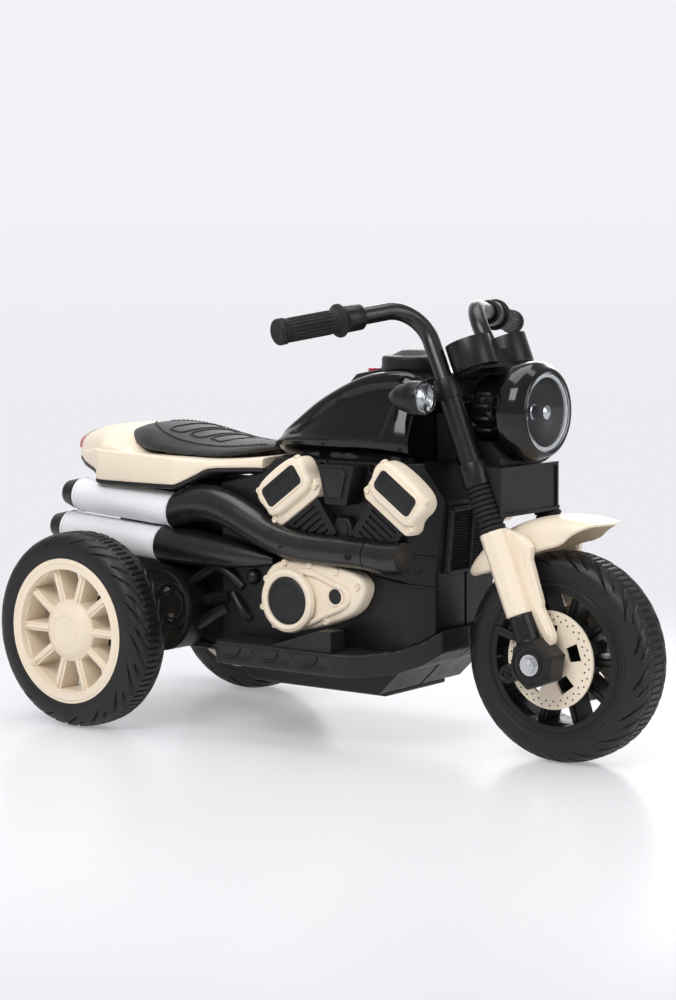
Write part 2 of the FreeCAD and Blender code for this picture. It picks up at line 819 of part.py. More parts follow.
def gaiter_shape():
    """A ribbed rubber sleeve round the right leg, with its bore."""
    foot = size("slider_top")
    pitch = (size("gaiter_top") - foot) / GAITER_RIBS
    rib_shares = [(0.0, 0), (0.25, 0), (0.45, 1), (0.8, 1)]
    centre = Vector(-size("leg_setback"), RIGHT * leg_y(), 0)
    wires = []
    for rib in range(GAITER_RIBS):
        for along_share, raised in rib_shares:
            radius = size("gaiter_radius") if raised else size("gaiter_valley_radius")
            height = Vector(0, 0, foot + (rib + along_share) * pitch)
            wires.append(Part.Wire(Part.makeCircle(radius, centre + height, Vector(0, 0, 1))))
    wires.append(Part.Wire(Part.makeCircle(
        size("gaiter_valley_radius"), centre + Vector(0, 0, size("gaiter_top"))
    )))
    ribs = Part.makeLoft(wires, True, True)
    return ribs.cut(leg_cylinder(
        size("fork_tube_radius") + size("running_clearance"), foot, size("gaiter_top")
    ))


def octagon(radius, height):
    """A faceted section of the right slider, with a flat towards the wheel."""
    points = ring_points(
        radius / math.cos(math.pi / 8), 8, (-size("leg_setback"), RIGHT * leg_y()), math.pi / 8
    )
    return [Vector(x, y, height) for x, y in points]


def slider_shape():
    """A cream fork slider with its guard blade, bored for the fork tube."""
    shaft = loft([octagon(size("slider_foot_radius"), size("slider_foot")),
                  octagon(size("slider_radius"), size("slider_top"))], ruled=True)
    rear = size("slider_radius") - size("leg_setback") - size("overrun") * 2
    foot = size("slider_top") - size("guard_length")
    points = [
        (rear + across * size("guard_width"), foot + up * size("guard_length")) for across,
        up in GUARD_shares
    ]
    near_y = leg_y() - size("slider_foot_radius")
    blade = side_prism(points, near_y, near_y + size("guard_thickness"))
    bore = leg_cylinder(size("fork_tube_radius") + size("running_clearance"), size("fork_tube_foot"),
                        size("slider_top") + size("overrun"))
    return fused([shaft, blade]).cut(bore)


def carrier_shape():
    """The axle carrier under a slider, with its stub and the dummy caliper's arm and boss."""
    near_y = size("carrier_inner_y")
    far_y = near_y + size("carrier_width")
    block = side_prism(ring_points(size("carrier_radius"), 6), near_y, far_y)
    stub = leg_cylinder(size("carrier_stub_radius"), 0, size("slider_foot"))
    reach = size("caliper_reach")
    width = size("caliper_strut_width")
    boss = size("caliper_boss_radius")
    middle_y = near_y + size("carrier_width") / 4
    arm = side_prism([(0, -width), (-reach, -width / 2), (-reach, width / 2), (0, width)], near_y, middle_y)
    strut = side_prism(
        [(0, width), (-reach, reach), (-reach, reach + width), (0, 2 * width)], near_y, middle_y
    )
    lug = cross_cylinder(boss, -reach, 0, near_y, middle_y + width / 2)
    bore = cross_cylinder(
        size("axle_radius") + size("running_clearance"), 0, 0, near_y - width, far_y + width
    )
    return fused([block, stub, arm, strut, lug]).cut(bore)


def yoke_plan(boss_radius, end_radius):
    """Plan of a clamp plate: a boss on the steering axis and an arm to each leg."""
    axis_x = -size("steering_setback")
    leg_x = -size("leg_setback")
    reach = leg_y()
    right = [
        (axis_x - boss_radius, -boss_radius / 2), (leg_x - end_radius / 2, -reach),
        (leg_x + end_radius / 2, -reach)
    ]
    return right + [(x, -y) for x, y in reversed(right)]


def leg_bores(foot, top):
    """Clearing cuts for the two fork tubes and the steering shaft."""
    gap = size("running_clearance")
    cuts = [leg_cylinder(size("fork_tube_radius") + gap, foot, top, side) for side in BOTH_SIDES]
    return cuts + [column_cylinder(size("shaft_radius") + gap, foot, top)]


def clamp_box_shape():
    """The box in front of the lower clamp, level with the ground, seen in the fork's frame."""
    front = size("wheelbase") / 2 - size("clamp_box_front")
    rear = front - size("clamp_box_depth")
    foot = size("clamp_box_foot_z")
    half = size("clamp_box_width") / 2
    rim = size("clamp_panel_rim")
    box = Part.makeBox(front - rear, 2 * half, size("clamp_box_height"), Vector(rear, -half, foot))
    recess = Part.makeBox(size("clamp_panel_depth"), 2 * (half - rim), size("clamp_box_height") - 2 * rim,
                          Vector(front - size("clamp_panel_depth"), rim - half, foot + rim))
    rest_x = rear + size("headlight_foot_length")
    top = foot + size("clamp_box_height")
    rest_width = size("headlight_foot_width")
    rest = Part.makeBox(
        size("headlight_foot_length"), rest_width, size("headlight_z") - top,
        Vector(rear, -rest_width / 2, top)
    )
    lamp = Part.makeCylinder(size("housing_radius") + size("seat_clearance"), 2 * (rest_x - rear),
                             Vector(rear - size("overrun"), 0, size("headlight_z")), Vector(1, 0, 0))
    shape = box.cut(recess).fuse(rest.cut(lamp))
    to_fork = Placement(Vector(front_axle_x(), 0, size("tyre_radius")), fork_turn()).inverse()
    shape.Placement = to_fork.multiply(shape.Placement)
    return shape


def make_lower_clamp():
    """The lower clamp: box, yoke and a sleeve round each leg."""
    foot = size("clamp_foot")
    top = foot + size("clamp_sleeve_height")
    yoke = plan_prism(
        yoke_plan(size("shaft_boss_radius"), 2 * size("clamp_sleeve_radius")), foot,
        size("clamp_yoke_height")
    )
    sleeves = [leg_cylinder(size("clamp_sleeve_radius"), foot, top, side) for side in BOTH_SIDES]
    shape = fused([yoke, clamp_box_shape()] + sleeves)
    far = size("upper_clamp_foot")
    cuts = leg_bores(foot - size("clamp_box_height"), far)
    below_radius = size("gaiter_radius") + size("seat_clearance")
    below_foot = foot - size("clamp_box_height")
    below = [leg_cylinder(below_radius, below_foot, foot, side) for side in BOTH_SIDES]
    feature("lower_clamp", shape.cut(Part.Compound(cuts + below)), fork_placement())


def make_upper_clamp():
    """The upper clamp: a plate with a collar on each leg and a tongue under the gauges."""
    foot = size("upper_clamp_foot")
    top = fork_top()
    plate = plan_prism(
        yoke_plan(size("shaft_boss_radius"), size("upper_collar_radius")), foot,
        size("upper_clamp_height")
    )
    collars = [leg_cylinder(size("upper_collar_radius"), foot, top, side) for side in BOTH_SIDES]
    half = leg_y() - size("upper_collar_radius") / 2
    tongue_height = size("upper_tongue_height")
    tongue = Part.makeBox(
        size("upper_tongue_reach") + size("leg_setback"), 2 * half, tongue_height,
        Vector(-size("leg_setback"), -half, top - tongue_height)
    )
    shape = fused([plate, tongue] + collars)
    feature(
        "upper_clamp",
        shape.cut(Part.Compound(leg_bores(foot - size("overrun"), top + size("overrun")))),
        fork_placement()
    )


def make_steering_column():
    """The steering shaft, the bushes that it turns in and the head that holds them."""
    gap = size("running_clearance")
    foot = size("clamp_foot") + size("clamp_sleeve_height") + size("head_gap")
    top = size("upper_clamp_foot") - size("head_gap")
    feature(
        "steering_shaft", column_cylinder(size("shaft_radius"), size("clamp_foot"), fork_top()),
        fork_placement()
    )
    bush_radius = size("shaft_radius") + size("bush_wall")
    flange = size("bush_flange")
    length = size("bush_length")
    shaft_hole = column_cylinder(size("shaft_radius") + gap, foot - length, top + length)
    lower = column_cylinder(bush_radius, foot, foot + length).fuse(
        column_cylinder(size("bush_flange_radius"), foot - flange, foot))
    upper = column_cylinder(bush_radius, top - length, top).fuse(
        column_cylinder(size("bush_flange_radius"), top, top + flange))
    bushes = [bush.removeSplitter().cut(shaft_hole) for bush in (lower, upper)]
    feature("steering_bushes", Part.Compound(bushes), fork_placement())
    tube = column_cylinder(size("head_tube_radius"), foot, top)
    tube.Placement = Placement(Vector(front_axle_x(), 0, size("tyre_radius")), fork_turn())
    bore = column_cylinder(bush_radius + gap, foot - flange, top + flange)
    bore.Placement = tube.Placement
    body_top = body_top_z()
    axis_foot = tube.Placement.multVec(Vector(
        -size("steering_setback"), 0, foot + size("head_tube_radius")
    ))
    axis_top = tube.Placement.multVec(Vector(
        -size("steering_setback"), 0, top - size("head_tube_radius") / 2
    ))
    rear = nose_x() - size("head_web_setback")
    web_foot = nose_x() - size("head_web_foot_setback")
    half = size("head_web_width") / 2
    outline = [
        (rear, body_top), (web_foot, body_top), (axis_foot.x, axis_foot.z),
        (axis_top.x, axis_top.z), (rear, axis_top.z),
    ]
    web = side_prism(outline, -half, half)
    feature("steering_head", fused([tube, web]).cut(bore))


def fender_ring(station):
    """One section of the fender's shell about the front axle."""
    turn_share, radius_share, half_share, skirt_share = station
    turn = turn_share * math.pi / 2
    outward = Vector(math.cos(turn), 0, math.sin(turn))
    top = radius_share * size("fender_radius")
    half = half_share * size("fender_half_width")
    skirt = top - skirt_share * size("fender_skirt")
    wall = size("fender_wall")
    shoulder = (half - wall) * SHOULDER_share
    outer = [(-half, skirt), (-half, (skirt + top) / 2), (-shoulder, top), (shoulder, top),
             (half, (skirt + top) / 2), (half, skirt)]
    inner_half = half - wall
    inner = [(inner_half, skirt), (inner_half, (skirt + top) / 2 - wall), (shoulder, top - wall),
             (-shoulder, top - wall), (-inner_half, (skirt + top) / 2 - wall), (-inner_half, skirt)]
    return [outward * radius + Vector(0, across, 0) for across, radius in outer + inner]


def make_fender():
    """The front fender, with a tab to the flat of each slider."""
    shell = loft([fender_ring(station) for station in FENDER_STATION_shares], ruled=True)
    shell.Placement = Placement(Vector(), fork_turn().inverted())
    near_y = size("fender_half_width") - 2 * size("fender_wall")
    far_y = leg_y() - size("slider_radius") - size("seat_clearance")
    half = size("fender_tab_length") / 2
    foot = size("fender_tab_foot")
    top = foot + size("fender_tab_height")
    setback = size("leg_setback")
    outline = [
        (-half - setback, foot), (half - setback, foot), (half - setback, top), (-half - setback, top),
    ]
    tabs = [side_prism(outline, near_y, far_y, side) for side in BOTH_SIDES]
    feature("front_fender", fused([shell] + tabs), fork_placement())


# Headlight, gauges and turn signals

def make_headlight():
    """Lamp housing, gloss bezel, reflector and lens, turned about a level axis."""
    bezel_bore = "lens_radius + running_clearance"
    step = "lens_thickness + lens_dome"
    bezel = new_body("bezel_body")
    revolve(bezel, "XZ_Plane", [
        (ZERO, bezel_bore), (ZERO, "lens_radius + housing_wall"),
        ("-bezel_round / 4", "bezel_radius - bezel_round / 2"),
        ("-bezel_round", "bezel_radius"), ("-bezel_depth", "bezel_radius"),
        ("-bezel_depth", "lens_radius - housing_wall"),
        (f"-({step})", "lens_radius - housing_wall"), (f"-({step})", bezel_bore),
    ])
    lens = new_body("lens_body")
    revolve(lens, "XZ_Plane", [
        (ZERO, ZERO), ("-lens_dome / 3", f"{LENS_STEP_share} * lens_radius"), ("-lens_dome", "lens_radius"),
        (f"-({step})", "lens_radius"),
        (f"-({step})", f"{LENS_LIP_share} * lens_radius"),
        ("-lens_dome / 3 - lens_thickness", f"{LENS_STEP_share} * lens_radius"), ("-lens_thickness", ZERO),
    ])
    seat = f"{step} + seat_clearance"
    reflector = new_body("reflector_body")
    rim = "lens_radius - housing_wall - running_clearance"
    revolve(reflector, "XZ_Plane", [
        (f"-({seat})", rim), (f"-({seat} + reflector_depth)", "reflector_floor_radius"),
        (f"-({seat} + reflector_depth)", ZERO),
        (f"-({seat} + reflector_depth + reflector_wall)", ZERO),
        (f"-({seat} + reflector_depth + reflector_wall)", "reflector_floor_radius + reflector_wall"),
        (f"-({seat} + 2 * reflector_wall)", rim),
    ])
    housing = new_body("housing_body")
    wide = "bezel_radius - housing_wall"
    back = "-(bezel_depth + housing_flare_depth)"
    revolve(housing, "XZ_Plane", [
        ("-bezel_depth", wide), (back, "housing_radius"), ("-housing_depth", "housing_radius"),
        ("-housing_depth", ZERO),
        ("housing_wall - housing_depth", ZERO),
        ("housing_wall - housing_depth", "housing_radius - housing_wall"),
        (back, "housing_radius - housing_wall"), ("-bezel_depth", f"{wide} - 2 * housing_wall"),
    ])
    for name, piece in {"headlight_bezel": bezel, "headlight_lens": lens, "headlight_reflector": reflector,
                        "headlight_housing": housing}.items():
        keep(place(piece, f"{FRONT_AXLE} - headlight_setback", z="headlight_z"), name)


def make_gauges():
    """Two instrument pods joined by a bridge, on the upper clamp's tongue."""
    base = fork_top()
    half = size("pod_spacing") / 2
    solids = []
    for side in BOTH_SIDES:
        centre = Vector(size("pod_forward"), side * half, base)
        pod = Part.makeCylinder(size("pod_radius"), size("pod_height"), centre)
        recess = Part.makeCylinder(size("pod_radius") - size("pod_rim"), size("pod_recess"),
                                   centre + Vector(0, 0, size("pod_height") - size("pod_recess")))
        solids.append(pod.cut(recess))
    length = size("pod_bridge_length")
    solids.append(Part.makeBox(length, 2 * (half - size("pod_radius") / 2), size("pod_bridge_height"),
                               Vector(size("pod_forward"), size("pod_radius") / 2 - half, base)))
    feature("gauge_cluster", fused(solids), fork_placement())


def make_turn_signals():
    """A teardrop lamp on a stalk beside each upper clamp collar, with a domed lens."""
    shell = new_body("signal_shell")
    revolve(shell, "XZ_Plane", [
        (ZERO, ZERO), (ZERO, "signal_radius"), ("-signal_length / 3", "signal_radius"),
        (f"-{SIGNAL_NECK_shares[0]} * signal_length", f"{SIGNAL_NECK_shares[1]} * signal_radius"),
        ("-signal_length", "signal_tail_radius"),
        ("-signal_length", ZERO),
    ])
    place(shell, f"{FRONT_AXLE} - signal_setback", "-signal_y", "signal_z")
    stalk = DOC.addObject("Part::Cylinder", "signal_stalk")
    stalk.setExpression("Radius", bound("signal_stalk_radius"))
    stalk.setExpression(
        "Height",
        bound("signal_y - signal_radius / 2 - leg_spacing / 2 - upper_collar_radius - seat_clearance")
    )
    level = Rotation(Vector(1, 0, 0), -90)
    place(
        stalk, f"{FRONT_AXLE} - signal_setback - signal_stalk_radius", "signal_radius / 2 - signal_y",
        "signal_z", level
    )
    body = DOC.addObject("Part::Fuse", "turn_signal")
    body.Base = shell
    body.Tool = stalk
    pair(body, "turn_signals")
    lens = new_body("signal_lens")
    revolve(lens, "XZ_Plane", [
        (ZERO, ZERO), (ZERO, "signal_lens_radius"), ("signal_lens_depth / 2", "signal_lens_radius"),
        (f"{SIGNAL_DOME_shares[0]} * signal_lens_depth", f"{SIGNAL_DOME_shares[1]} * signal_lens_radius"),
        ("signal_lens_depth", f"{SIGNAL_DOME_shares[2]} * signal_lens_radius"),
        ("signal_lens_depth", ZERO),
    ])
    place(lens, f"{FRONT_AXLE} - signal_setback", "-signal_y", "signal_z")
    pair(lens, "turn_signal_lenses")


# Handlebars

def bar_points():
    """Foot, corner and end of the right handlebar's line."""
    frame = Placement(Vector(front_axle_x(), 0, size("tyre_radius")), fork_turn())
    foot = frame.multVec(Vector(-size("leg_setback"), RIGHT * leg_y(), fork_top()))
    corner_x = front_axle_x() - size("bar_corner_setback")
    end_x = front_axle_x() - size("bar_end_setback")
    corner = Vector(corner_x, RIGHT * size("bar_corner_y"), size("bar_corner_z"))
    end = Vector(end_x, RIGHT * size("bar_end_y"), size("bar_end_z"))
    return foot, corner, end


def unit(vector):
    """A direction of length one."""
    return Vector(vector).normalize()


def make_handlebars():
    """A bent tube from each fork leg, cut flat on the upper clamp."""
    foot, corner, end = bar_points()
    up = unit(corner - foot)
    out = unit(end - corner)
    turn = math.acos(up.dot(out))
    radius = size("bar_bend_radius")
    reach = radius * math.tan(turn / 2)
    start = foot - up * size("bar_radius")
    first = corner - up * reach
    last = corner + out * reach
    inward = unit(out - up)
    middle = corner + inward * (radius / math.cos(turn / 2) - radius)
    path = Part.Wire([Part.LineSegment(start, first).toShape(), Part.Arc(first, middle, last).toShape(),
                      Part.LineSegment(last, end).toShape()])
    tube = path.makePipeShell([Part.Wire(Part.makeCircle(size("bar_radius"), start, up))], True, False)
    base = 4 * size("bar_radius")
    stop = Part.makeBox(
        base, base, base,
        Vector(-base / 2 - size("leg_setback"), RIGHT * leg_y() - base / 2, fork_top() - base)
    )
    stop.Placement = Placement(Vector(front_axle_x(), 0, size("tyre_radius")), fork_turn())
    bar = DOC.addObject("Part::Feature", "handlebar")
    bar.Shape = tube.cut(stop)
    bar.Placement = Placement(Vector(middle_x(), 0, 0), Rotation())
    pair(bar, "handlebars")


def place_on_bar(piece):
    """Set a turned piece on the right bar, its own Z running inwards from the bar's end."""
    corner, end = bar_points()[1:]
    inwards = Rotation(Vector(0, 0, 1), corner - end)
    return place(piece, f"{FRONT_AXLE} - bar_end_setback", "-bar_end_y", "bar_end_z", inwards)


def make_grips():
    """Rubber grips with an end cap and a flange, and the control barrels beside them."""
    bore = "bar_radius + running_clearance"
    grip = new_body("grip_body")
    end = "-grip_end_wall"
    top = "grip_length - grip_end_wall"
    revolve(grip, "XZ_Plane", [
        (ZERO, end), ("grip_end_radius", end), ("grip_end_radius", f"{end} + grip_end_width"),
        ("grip_radius", f"{end} + grip_end_width"), ("grip_radius", f"{top} - 2 * grip_flange_width"),
        ("grip_flange_radius", f"{top} - grip_flange_width"), ("grip_flange_radius", top), (bore, top),
        (bore, "-running_clearance"), (ZERO, "-running_clearance"),
    ], axis="V_Axis")
    pair(place_on_bar(grip), "grips")
    barrel = new_body("barrel_body")
    foot = f"{top} + barrel_gap"
    head = f"{top} + barrel_gap + barrel_length"
    revolve(barrel, "XZ_Plane", [
        (bore, top), ("bar_radius + grip_end_wall", top), ("bar_radius + grip_end_wall", foot),
        ("barrel_radius", foot),
        ("barrel_radius", head), (bore, head),
    ], axis="V_Axis")
    pair(place_on_bar(barrel), "control_barrels")


# Body shells, belly, grille and footboards

def body_points(shares=BODY_OUTLINE_shares):
    """The body's side outline, or some of its points."""
    rear = body_rear_x()
    length = nose_x() - rear
    foot = size("body_foot_z")
    return [(rear + along * length, foot + up * size("body_height")) for along, up in shares]


def body_block(inset=0.0):
    """The right half of the body as a full block, narrow at the waist and nose, or that block drawn in."""
    wire = Part.makePolygon([Vector(x, 0, z) for x, z in body_points() + body_points()[:1]])
    if inset:
        wire = wire.makeOffset2D(-inset)
    depth = size("body_half_width") - inset
    block = Part.Face(wire).extrude(Vector(0, RIGHT * depth, 0))
    far = 2 * size("body_half_width")
    tall = body_top_z() + far
    waist = size("body_waist_half_width") - inset
    rear_x = body_rear_x() - far
    waist_x = rear_axle_x() + size("body_waist_reach")
    side_cut = Part.makeBox(
        waist_x + inset - rear_x, far, tall, Vector(rear_x, -far - waist, 0)
    )
    nose = nose_x() + size("overrun") - inset
    taper = nose_x() - size("body_nose_taper") - inset
    corner = [(taper, -size("body_half_width") - size("overrun")), (nose, -size("body_nose_half_width")),
              (nose, -far), (taper, -far)]
    return block.cut(side_cut).cut(plan_prism(corner, 0, tall))


def motor_place():
    """X and Z of the motor's axis, up the line of gears from the rear axle."""
    span = size("gear_module") * (PINION_TEETH + 2 * IDLER_TEETH + DRIVE_TEETH) / 2
    return drive_line_point(span)


def drive_line_point(distance):
    """X and Z at a distance along the line of gears."""
    angle = math.radians(size("drive_line_angle"))
    return (
        -size("wheelbase") / 2 + distance * math.cos(angle),
        size("tyre_radius") + distance * math.sin(angle)
    )


def make_body_shells():
    """The two half shells, holed for the rear axle and, on the right, for the motor's shaft."""
    shell = body_block().cut(body_block(size("body_wall")))
    far = size("body_half_width")
    rear_x = -size("wheelbase") / 2
    shell = shell.cut(cross_cylinder(
        size("axle_radius") + size("running_clearance"), rear_x, size("tyre_radius"), 0, far
    ))
    motor_x, motor_z = motor_place()
    hole = cross_cylinder(size("pinion_shaft_radius") + size("pedal_gap"), motor_x, motor_z, 0, far)
    feature("body_shell_right", shell.cut(hole))
    feature("body_shell_left", shell.mirror(Vector(), Vector(0, 1, 0)))


def make_belly_pan():
    """A flat pan under the body, which it can stand on."""
    pan = DOC.addObject("Part::Box", "belly_pan")
    rear_share = BODY_OUTLINE_shares[BELLY_REAR_POINT][0]
    front_share = BODY_OUTLINE_shares[BELLY_FRONT_POINT][0]
    pan.setExpression("Length", bound(f"{front_share - rear_share} * ({BODY_LENGTH}) - 2 * belly_inset"))
    pan.setExpression("Width", bound("2 * belly_half_width"))
    pan.setExpression("Height", bound("belly_thickness"))
    rear = f"{MIDDLE} + ({BODY_REAR}) + {rear_share} * ({BODY_LENGTH}) + belly_inset"
    keep(place(pan, rear, "-belly_half_width", "body_foot_z - belly_thickness"), "belly_pan")


def make_grille():
    """A slatted plate on the sloping front of the body."""
    (low_x, low_z), (high_x, high_z) = body_points(GRILLE_BACK_shares)
    lean = math.degrees(math.atan2(high_x - low_x, high_z - low_z))
    half = size("grille_half_width")
    border = size("grille_border")
    height = size("grille_height")
    plate = Part.makeBox(size("grille_thickness"), 2 * half, height, Vector(0, -half, 0))
    pitch = (height - 2 * border) / GRILLE_SLOTS
    depth = size("grille_slot_depth")
    slots = []
    for k in range(GRILLE_SLOTS):
        slot_foot = border + pitch * k + size("grille_slat")
        spot = Vector(size("grille_thickness") - depth, border - half, slot_foot)
        slots.append(Part.makeBox(depth, 2 * (half - border), pitch - size("grille_slat"), spot))
    lift = size("grille_lift")
    foot = Vector(middle_x() + low_x + lift * math.tan(math.radians(lean)), 0, low_z + lift)
    spot = Placement(foot, Rotation(Vector(0, 1, 0), lean))
    feature("radiator_grille", plate.cut(Part.Compound(slots)), spot)


def pedal_axis():
    """X and Z of the pedal's pin."""
    x = size("pedal_rear_x") + 2 * size("pedal_pin_radius")
    return x, size("footboard_foot_z") + size("footboard_height") - size("pedal_pin_height")


def footboard_shape():
    """The right footboard, round to the middle of the nose, with hollows in its outer edge."""
    inner = size("body_half_width")
    span = size("footboard_half_width") - inner
    rear = size("footboard_rear_x")
    front = nose_x()
    outline = [(rear + along * (front - rear), -inner - out * span) for along, out in FOOTBOARD_shares]
    points = [(rear, 0)] + outline + [(front, 0)]
    foot = size("footboard_foot_z")
    height = size("footboard_height")
    sweep = [(rear + along * (front - rear), foot + up * size("bow_rise")) for along, up in BOW_shares]
    profile = sweep + [(x, z + height) for x, z in reversed(sweep)]
    board = plan_prism(points, foot, height + size("bow_rise"))
    board = board.common(side_prism(profile, 0, size("footboard_half_width"))).cut(body_block())
    board = max(board.Solids, key=lambda solid: solid.Volume)
    hollows = []
    for along_share in FOOTBOARD_RECESS_shares:
        x = rear + along_share * (front - rear)
        length = size("footboard_recess_length")
        hollow_height = size("footboard_recess_height")
        depth = size("footboard_recess_depth")
        low = foot + (height - hollow_height) / 2
        spot = Vector(x - length / 2, -size("footboard_half_width") - depth, low)
        hollows.append(Part.makeBox(length, 2 * depth, hollow_height, spot))
    return board.cut(Part.Compound(hollows))


def make_footboards():
    """Both footboards; the right one has the pedal's well and its pin."""
    board = footboard_shape()
    feature("footboard_left", board.mirror(Vector(), Vector(0, 1, 0)))
    gap = size("pedal_gap")
    near_y = size("pedal_outer_y") - size("pedal_width") - gap
    far_y = size("pedal_outer_y") + gap
    top = size("footboard_foot_z") + size("footboard_height")
    depth = size("pedal_well_depth")
    well = Part.makeBox(
        size("pedal_length") + size("pedal_wall") + gap, far_y - near_y, depth + size("overrun"),
        Vector(size("pedal_rear_x") - gap, -far_y, top - depth)
    )
    pin_x, pin_z = pedal_axis()
    pin = cross_cylinder(
        size("pedal_pin_radius"), pin_x, pin_z, near_y - size("pedal_wall"),
        far_y + size("pedal_wall") / 2
    )
    feature("footboard_right", board.cut(well).fuse(pin).removeSplitter())


def make_pedal():
    """The accelerator pedal, a wedge on its pin."""
    pin_x, pin_z = pedal_axis()
    rear = size("pedal_rear_x")
    top = size("footboard_foot_z") + size("footboard_height")
    points = [
        (rear + along * size("pedal_length"), top + up * size("pedal_rise")) for along,
        up in PEDAL_shares
    ]
    near_y = size("pedal_outer_y") - size("pedal_width")
    bore = cross_cylinder(
        size("pedal_pin_radius") + size("running_clearance"), pin_x, pin_z, near_y,
        size("pedal_outer_y")
    )
    feature("accelerator_pedal", side_prism(points, near_y, size("pedal_outer_y")).cut(bore))


# Tank cover, dash and button

def tank_ring(station, inset=0.0):
    """One section of the tank cover, or of its hollow."""
    along, half_share, wide_share, ridge_half_share, ridge_share, crown_share = station
    foot = body_top_z()
    inner_length = nose_x() - size("tank_setback") - size("tank_rear_x") - 2 * inset
    x = size("tank_rear_x") + inset + along * inner_length
    half = half_share * size("tank_half_width") - inset
    ridge_half = ridge_half_share * size("tank_half_width") - inset
    height = size("tank_height")
    base = foot - 2 * inset
    right = [
        (half, base), (half, foot + wide_share * height - inset),
        (ridge_half, foot + ridge_share * height - inset)
    ]
    points = [(-y, z) for y, z in right] + [(0, foot + crown_share * height - inset)]
    points += [(y, z) for y, z in reversed(right)]
    return [Vector(x, y, z) for y, z in points]


def tank_block(inset=0.0):
    """The tank cover as a full block, or its hollow."""
    return loft([tank_ring(station, inset) for station in TANK_STATION_shares])


def make_tank():
    """The tank cover, open underneath."""
    feature("fuel_tank_cover", tank_block().cut(tank_block(size("tank_wall"))))


def make_dash():
    """A round pod with a domed top and a tongue behind it, seated on the tank, with a button's well."""
    top = tank_top_z() + size("dash_pod_rise")
    depth = size("dash_depth")
    x = dash_pod_x()
    pod = Part.makeCylinder(size("dash_pod_radius"), depth, Vector(x, 0, top - depth))
    dome = Part.makeCone(
        size("dash_dome_radius"), size("dash_dome_radius") / 2, size("dash_dome_height"),
        Vector(x, 0, top)
    )
    half = size("dash_tail_half_width")
    rear = x - size("dash_tail_reach")
    tail_z = dash_tail_z()
    outline = [
        (rear, top - depth), (x, top - depth), (x, tail_z + half / 2), (rear + half / 2, tail_z),
        (rear, tail_z - half / 2),
    ]
    tongue = side_prism(outline, -half, half)
    seat = tank_block()
    seat.translate(Vector(0, 0, size("seat_clearance")))
    dash = fused([pod, dome, tongue]).cut(seat)
    dash = max(dash.Solids, key=lambda solid: solid.Volume)
    button_x = x - size("button_reach")
    button_foot = dash_face_z(button_x) + size("button_stand") - size("button_height")
    well_foot = Vector(button_x, 0, button_foot - size("button_travel"))
    well = Part.makeCylinder(size("button_radius") + size("button_gap"), depth, well_foot)
    feature("dash_panel", dash.cut(well))
    button = DOC.addObject("Part::Cylinder", "button_body")
    button.setExpression("Radius", bound("button_radius"))
    button.setExpression("Height", bound("button_height"))
    button.Placement = Placement(Vector(middle_x() + button_x, 0, button_foot), Rotation())
    keep(button, "power_button")


def dash_face_z(x):
    """Height of the tongue's top at a place along it."""
    half = size("dash_tail_half_width")
    start = dash_pod_x() - size("dash_tail_reach") + half / 2
    slope = half / 2 / (dash_pod_x() - start)
    return dash_tail_z() + (x - start) * slope


# Seat pad, tail cover and tail light

def tail_rear_x():
    """Rear end of the tail cover, where the tail light starts."""
    return size("tail_light_depth") - size("wheelbase") / 2 - size("tail_reach")


def tail_length():
    """Length of the tail cover."""
    return size("tail_front_x") - tail_rear_x()


def tail_plan(inset=0.0):
    """Plan of the tail cover's tray, right and left."""
    right = [(size("tail_front_x") - along * tail_length(), out * size("tail_half_width") - inset)
             for along, out in TAIL_PLAN_shares]
    last_x = size("tail_front_x") - TAIL_HUMP_shares[0][0] * tail_length() + inset
    right = [(right[0][0] - inset, right[0][1])] + right[1:] + [(last_x, right[-1][1])]
    return [(x, -y) for x, y in right] + [(x, y) for x, y in reversed(right)]


def tail_side(lift=0.0):
    """Side outline of the tail cover's tray."""
    foot = tail_foot_z() + lift
    return [
        (size("tail_front_x") - along * tail_length(), foot + up * size("tail_height"))
        for along, up in TAIL_SIDE_shares
    ]


def tail_hump(inset=0.0):
    """The tapering end behind the seat, or its hollow."""
    rings = []
    for along, half_share, foot_share, top_share in TAIL_HUMP_shares:
        x = size("tail_front_x") - along * tail_length()
        half = half_share * size("tail_half_width") - inset
        foot = tail_foot_z() + foot_share * size("tail_height") - 2 * inset
        top = tail_foot_z() + top_share * size("tail_height") - inset
        right = [(out * half, foot + up * (top - foot)) for out, up in HUMP_SECTION_shares]
        rings.append([Vector(x, -y, z) for y, z in right] + [Vector(x, y, z) for y, z in reversed(right)])
    return loft(rings, ruled=True)


def tail_block():
    """The tail cover's tray as a full block."""
    half = size("tail_half_width")
    return side_prism(tail_side(), -half, half).common(plan_prism(tail_plan(), 0, 2 * size("body_height")))


def tail_hollow():
    """The space under the tail cover's top."""
    half = size("tail_half_width")
    wall = size("tail_wall")
    under = tail_side(-wall)[:TAIL_TOP_POINTS]
    low = tail_foot_z() - size("tail_height")
    outline = under + [(under[-1][0], low), (under[0][0], low)]
    room = plan_prism(tail_plan(wall), low, 2 * size("body_height"))
    return side_prism(outline, -half, half).common(room)


def whole_body_block():
    """Both halves of the body as one block, raised by the clearance of what sits over it."""
    right = body_block()
    block = right.fuse(right.mirror(Vector(), Vector(0, 1, 0)))
    block.translate(Vector(0, 0, size("seat_clearance")))
    return block


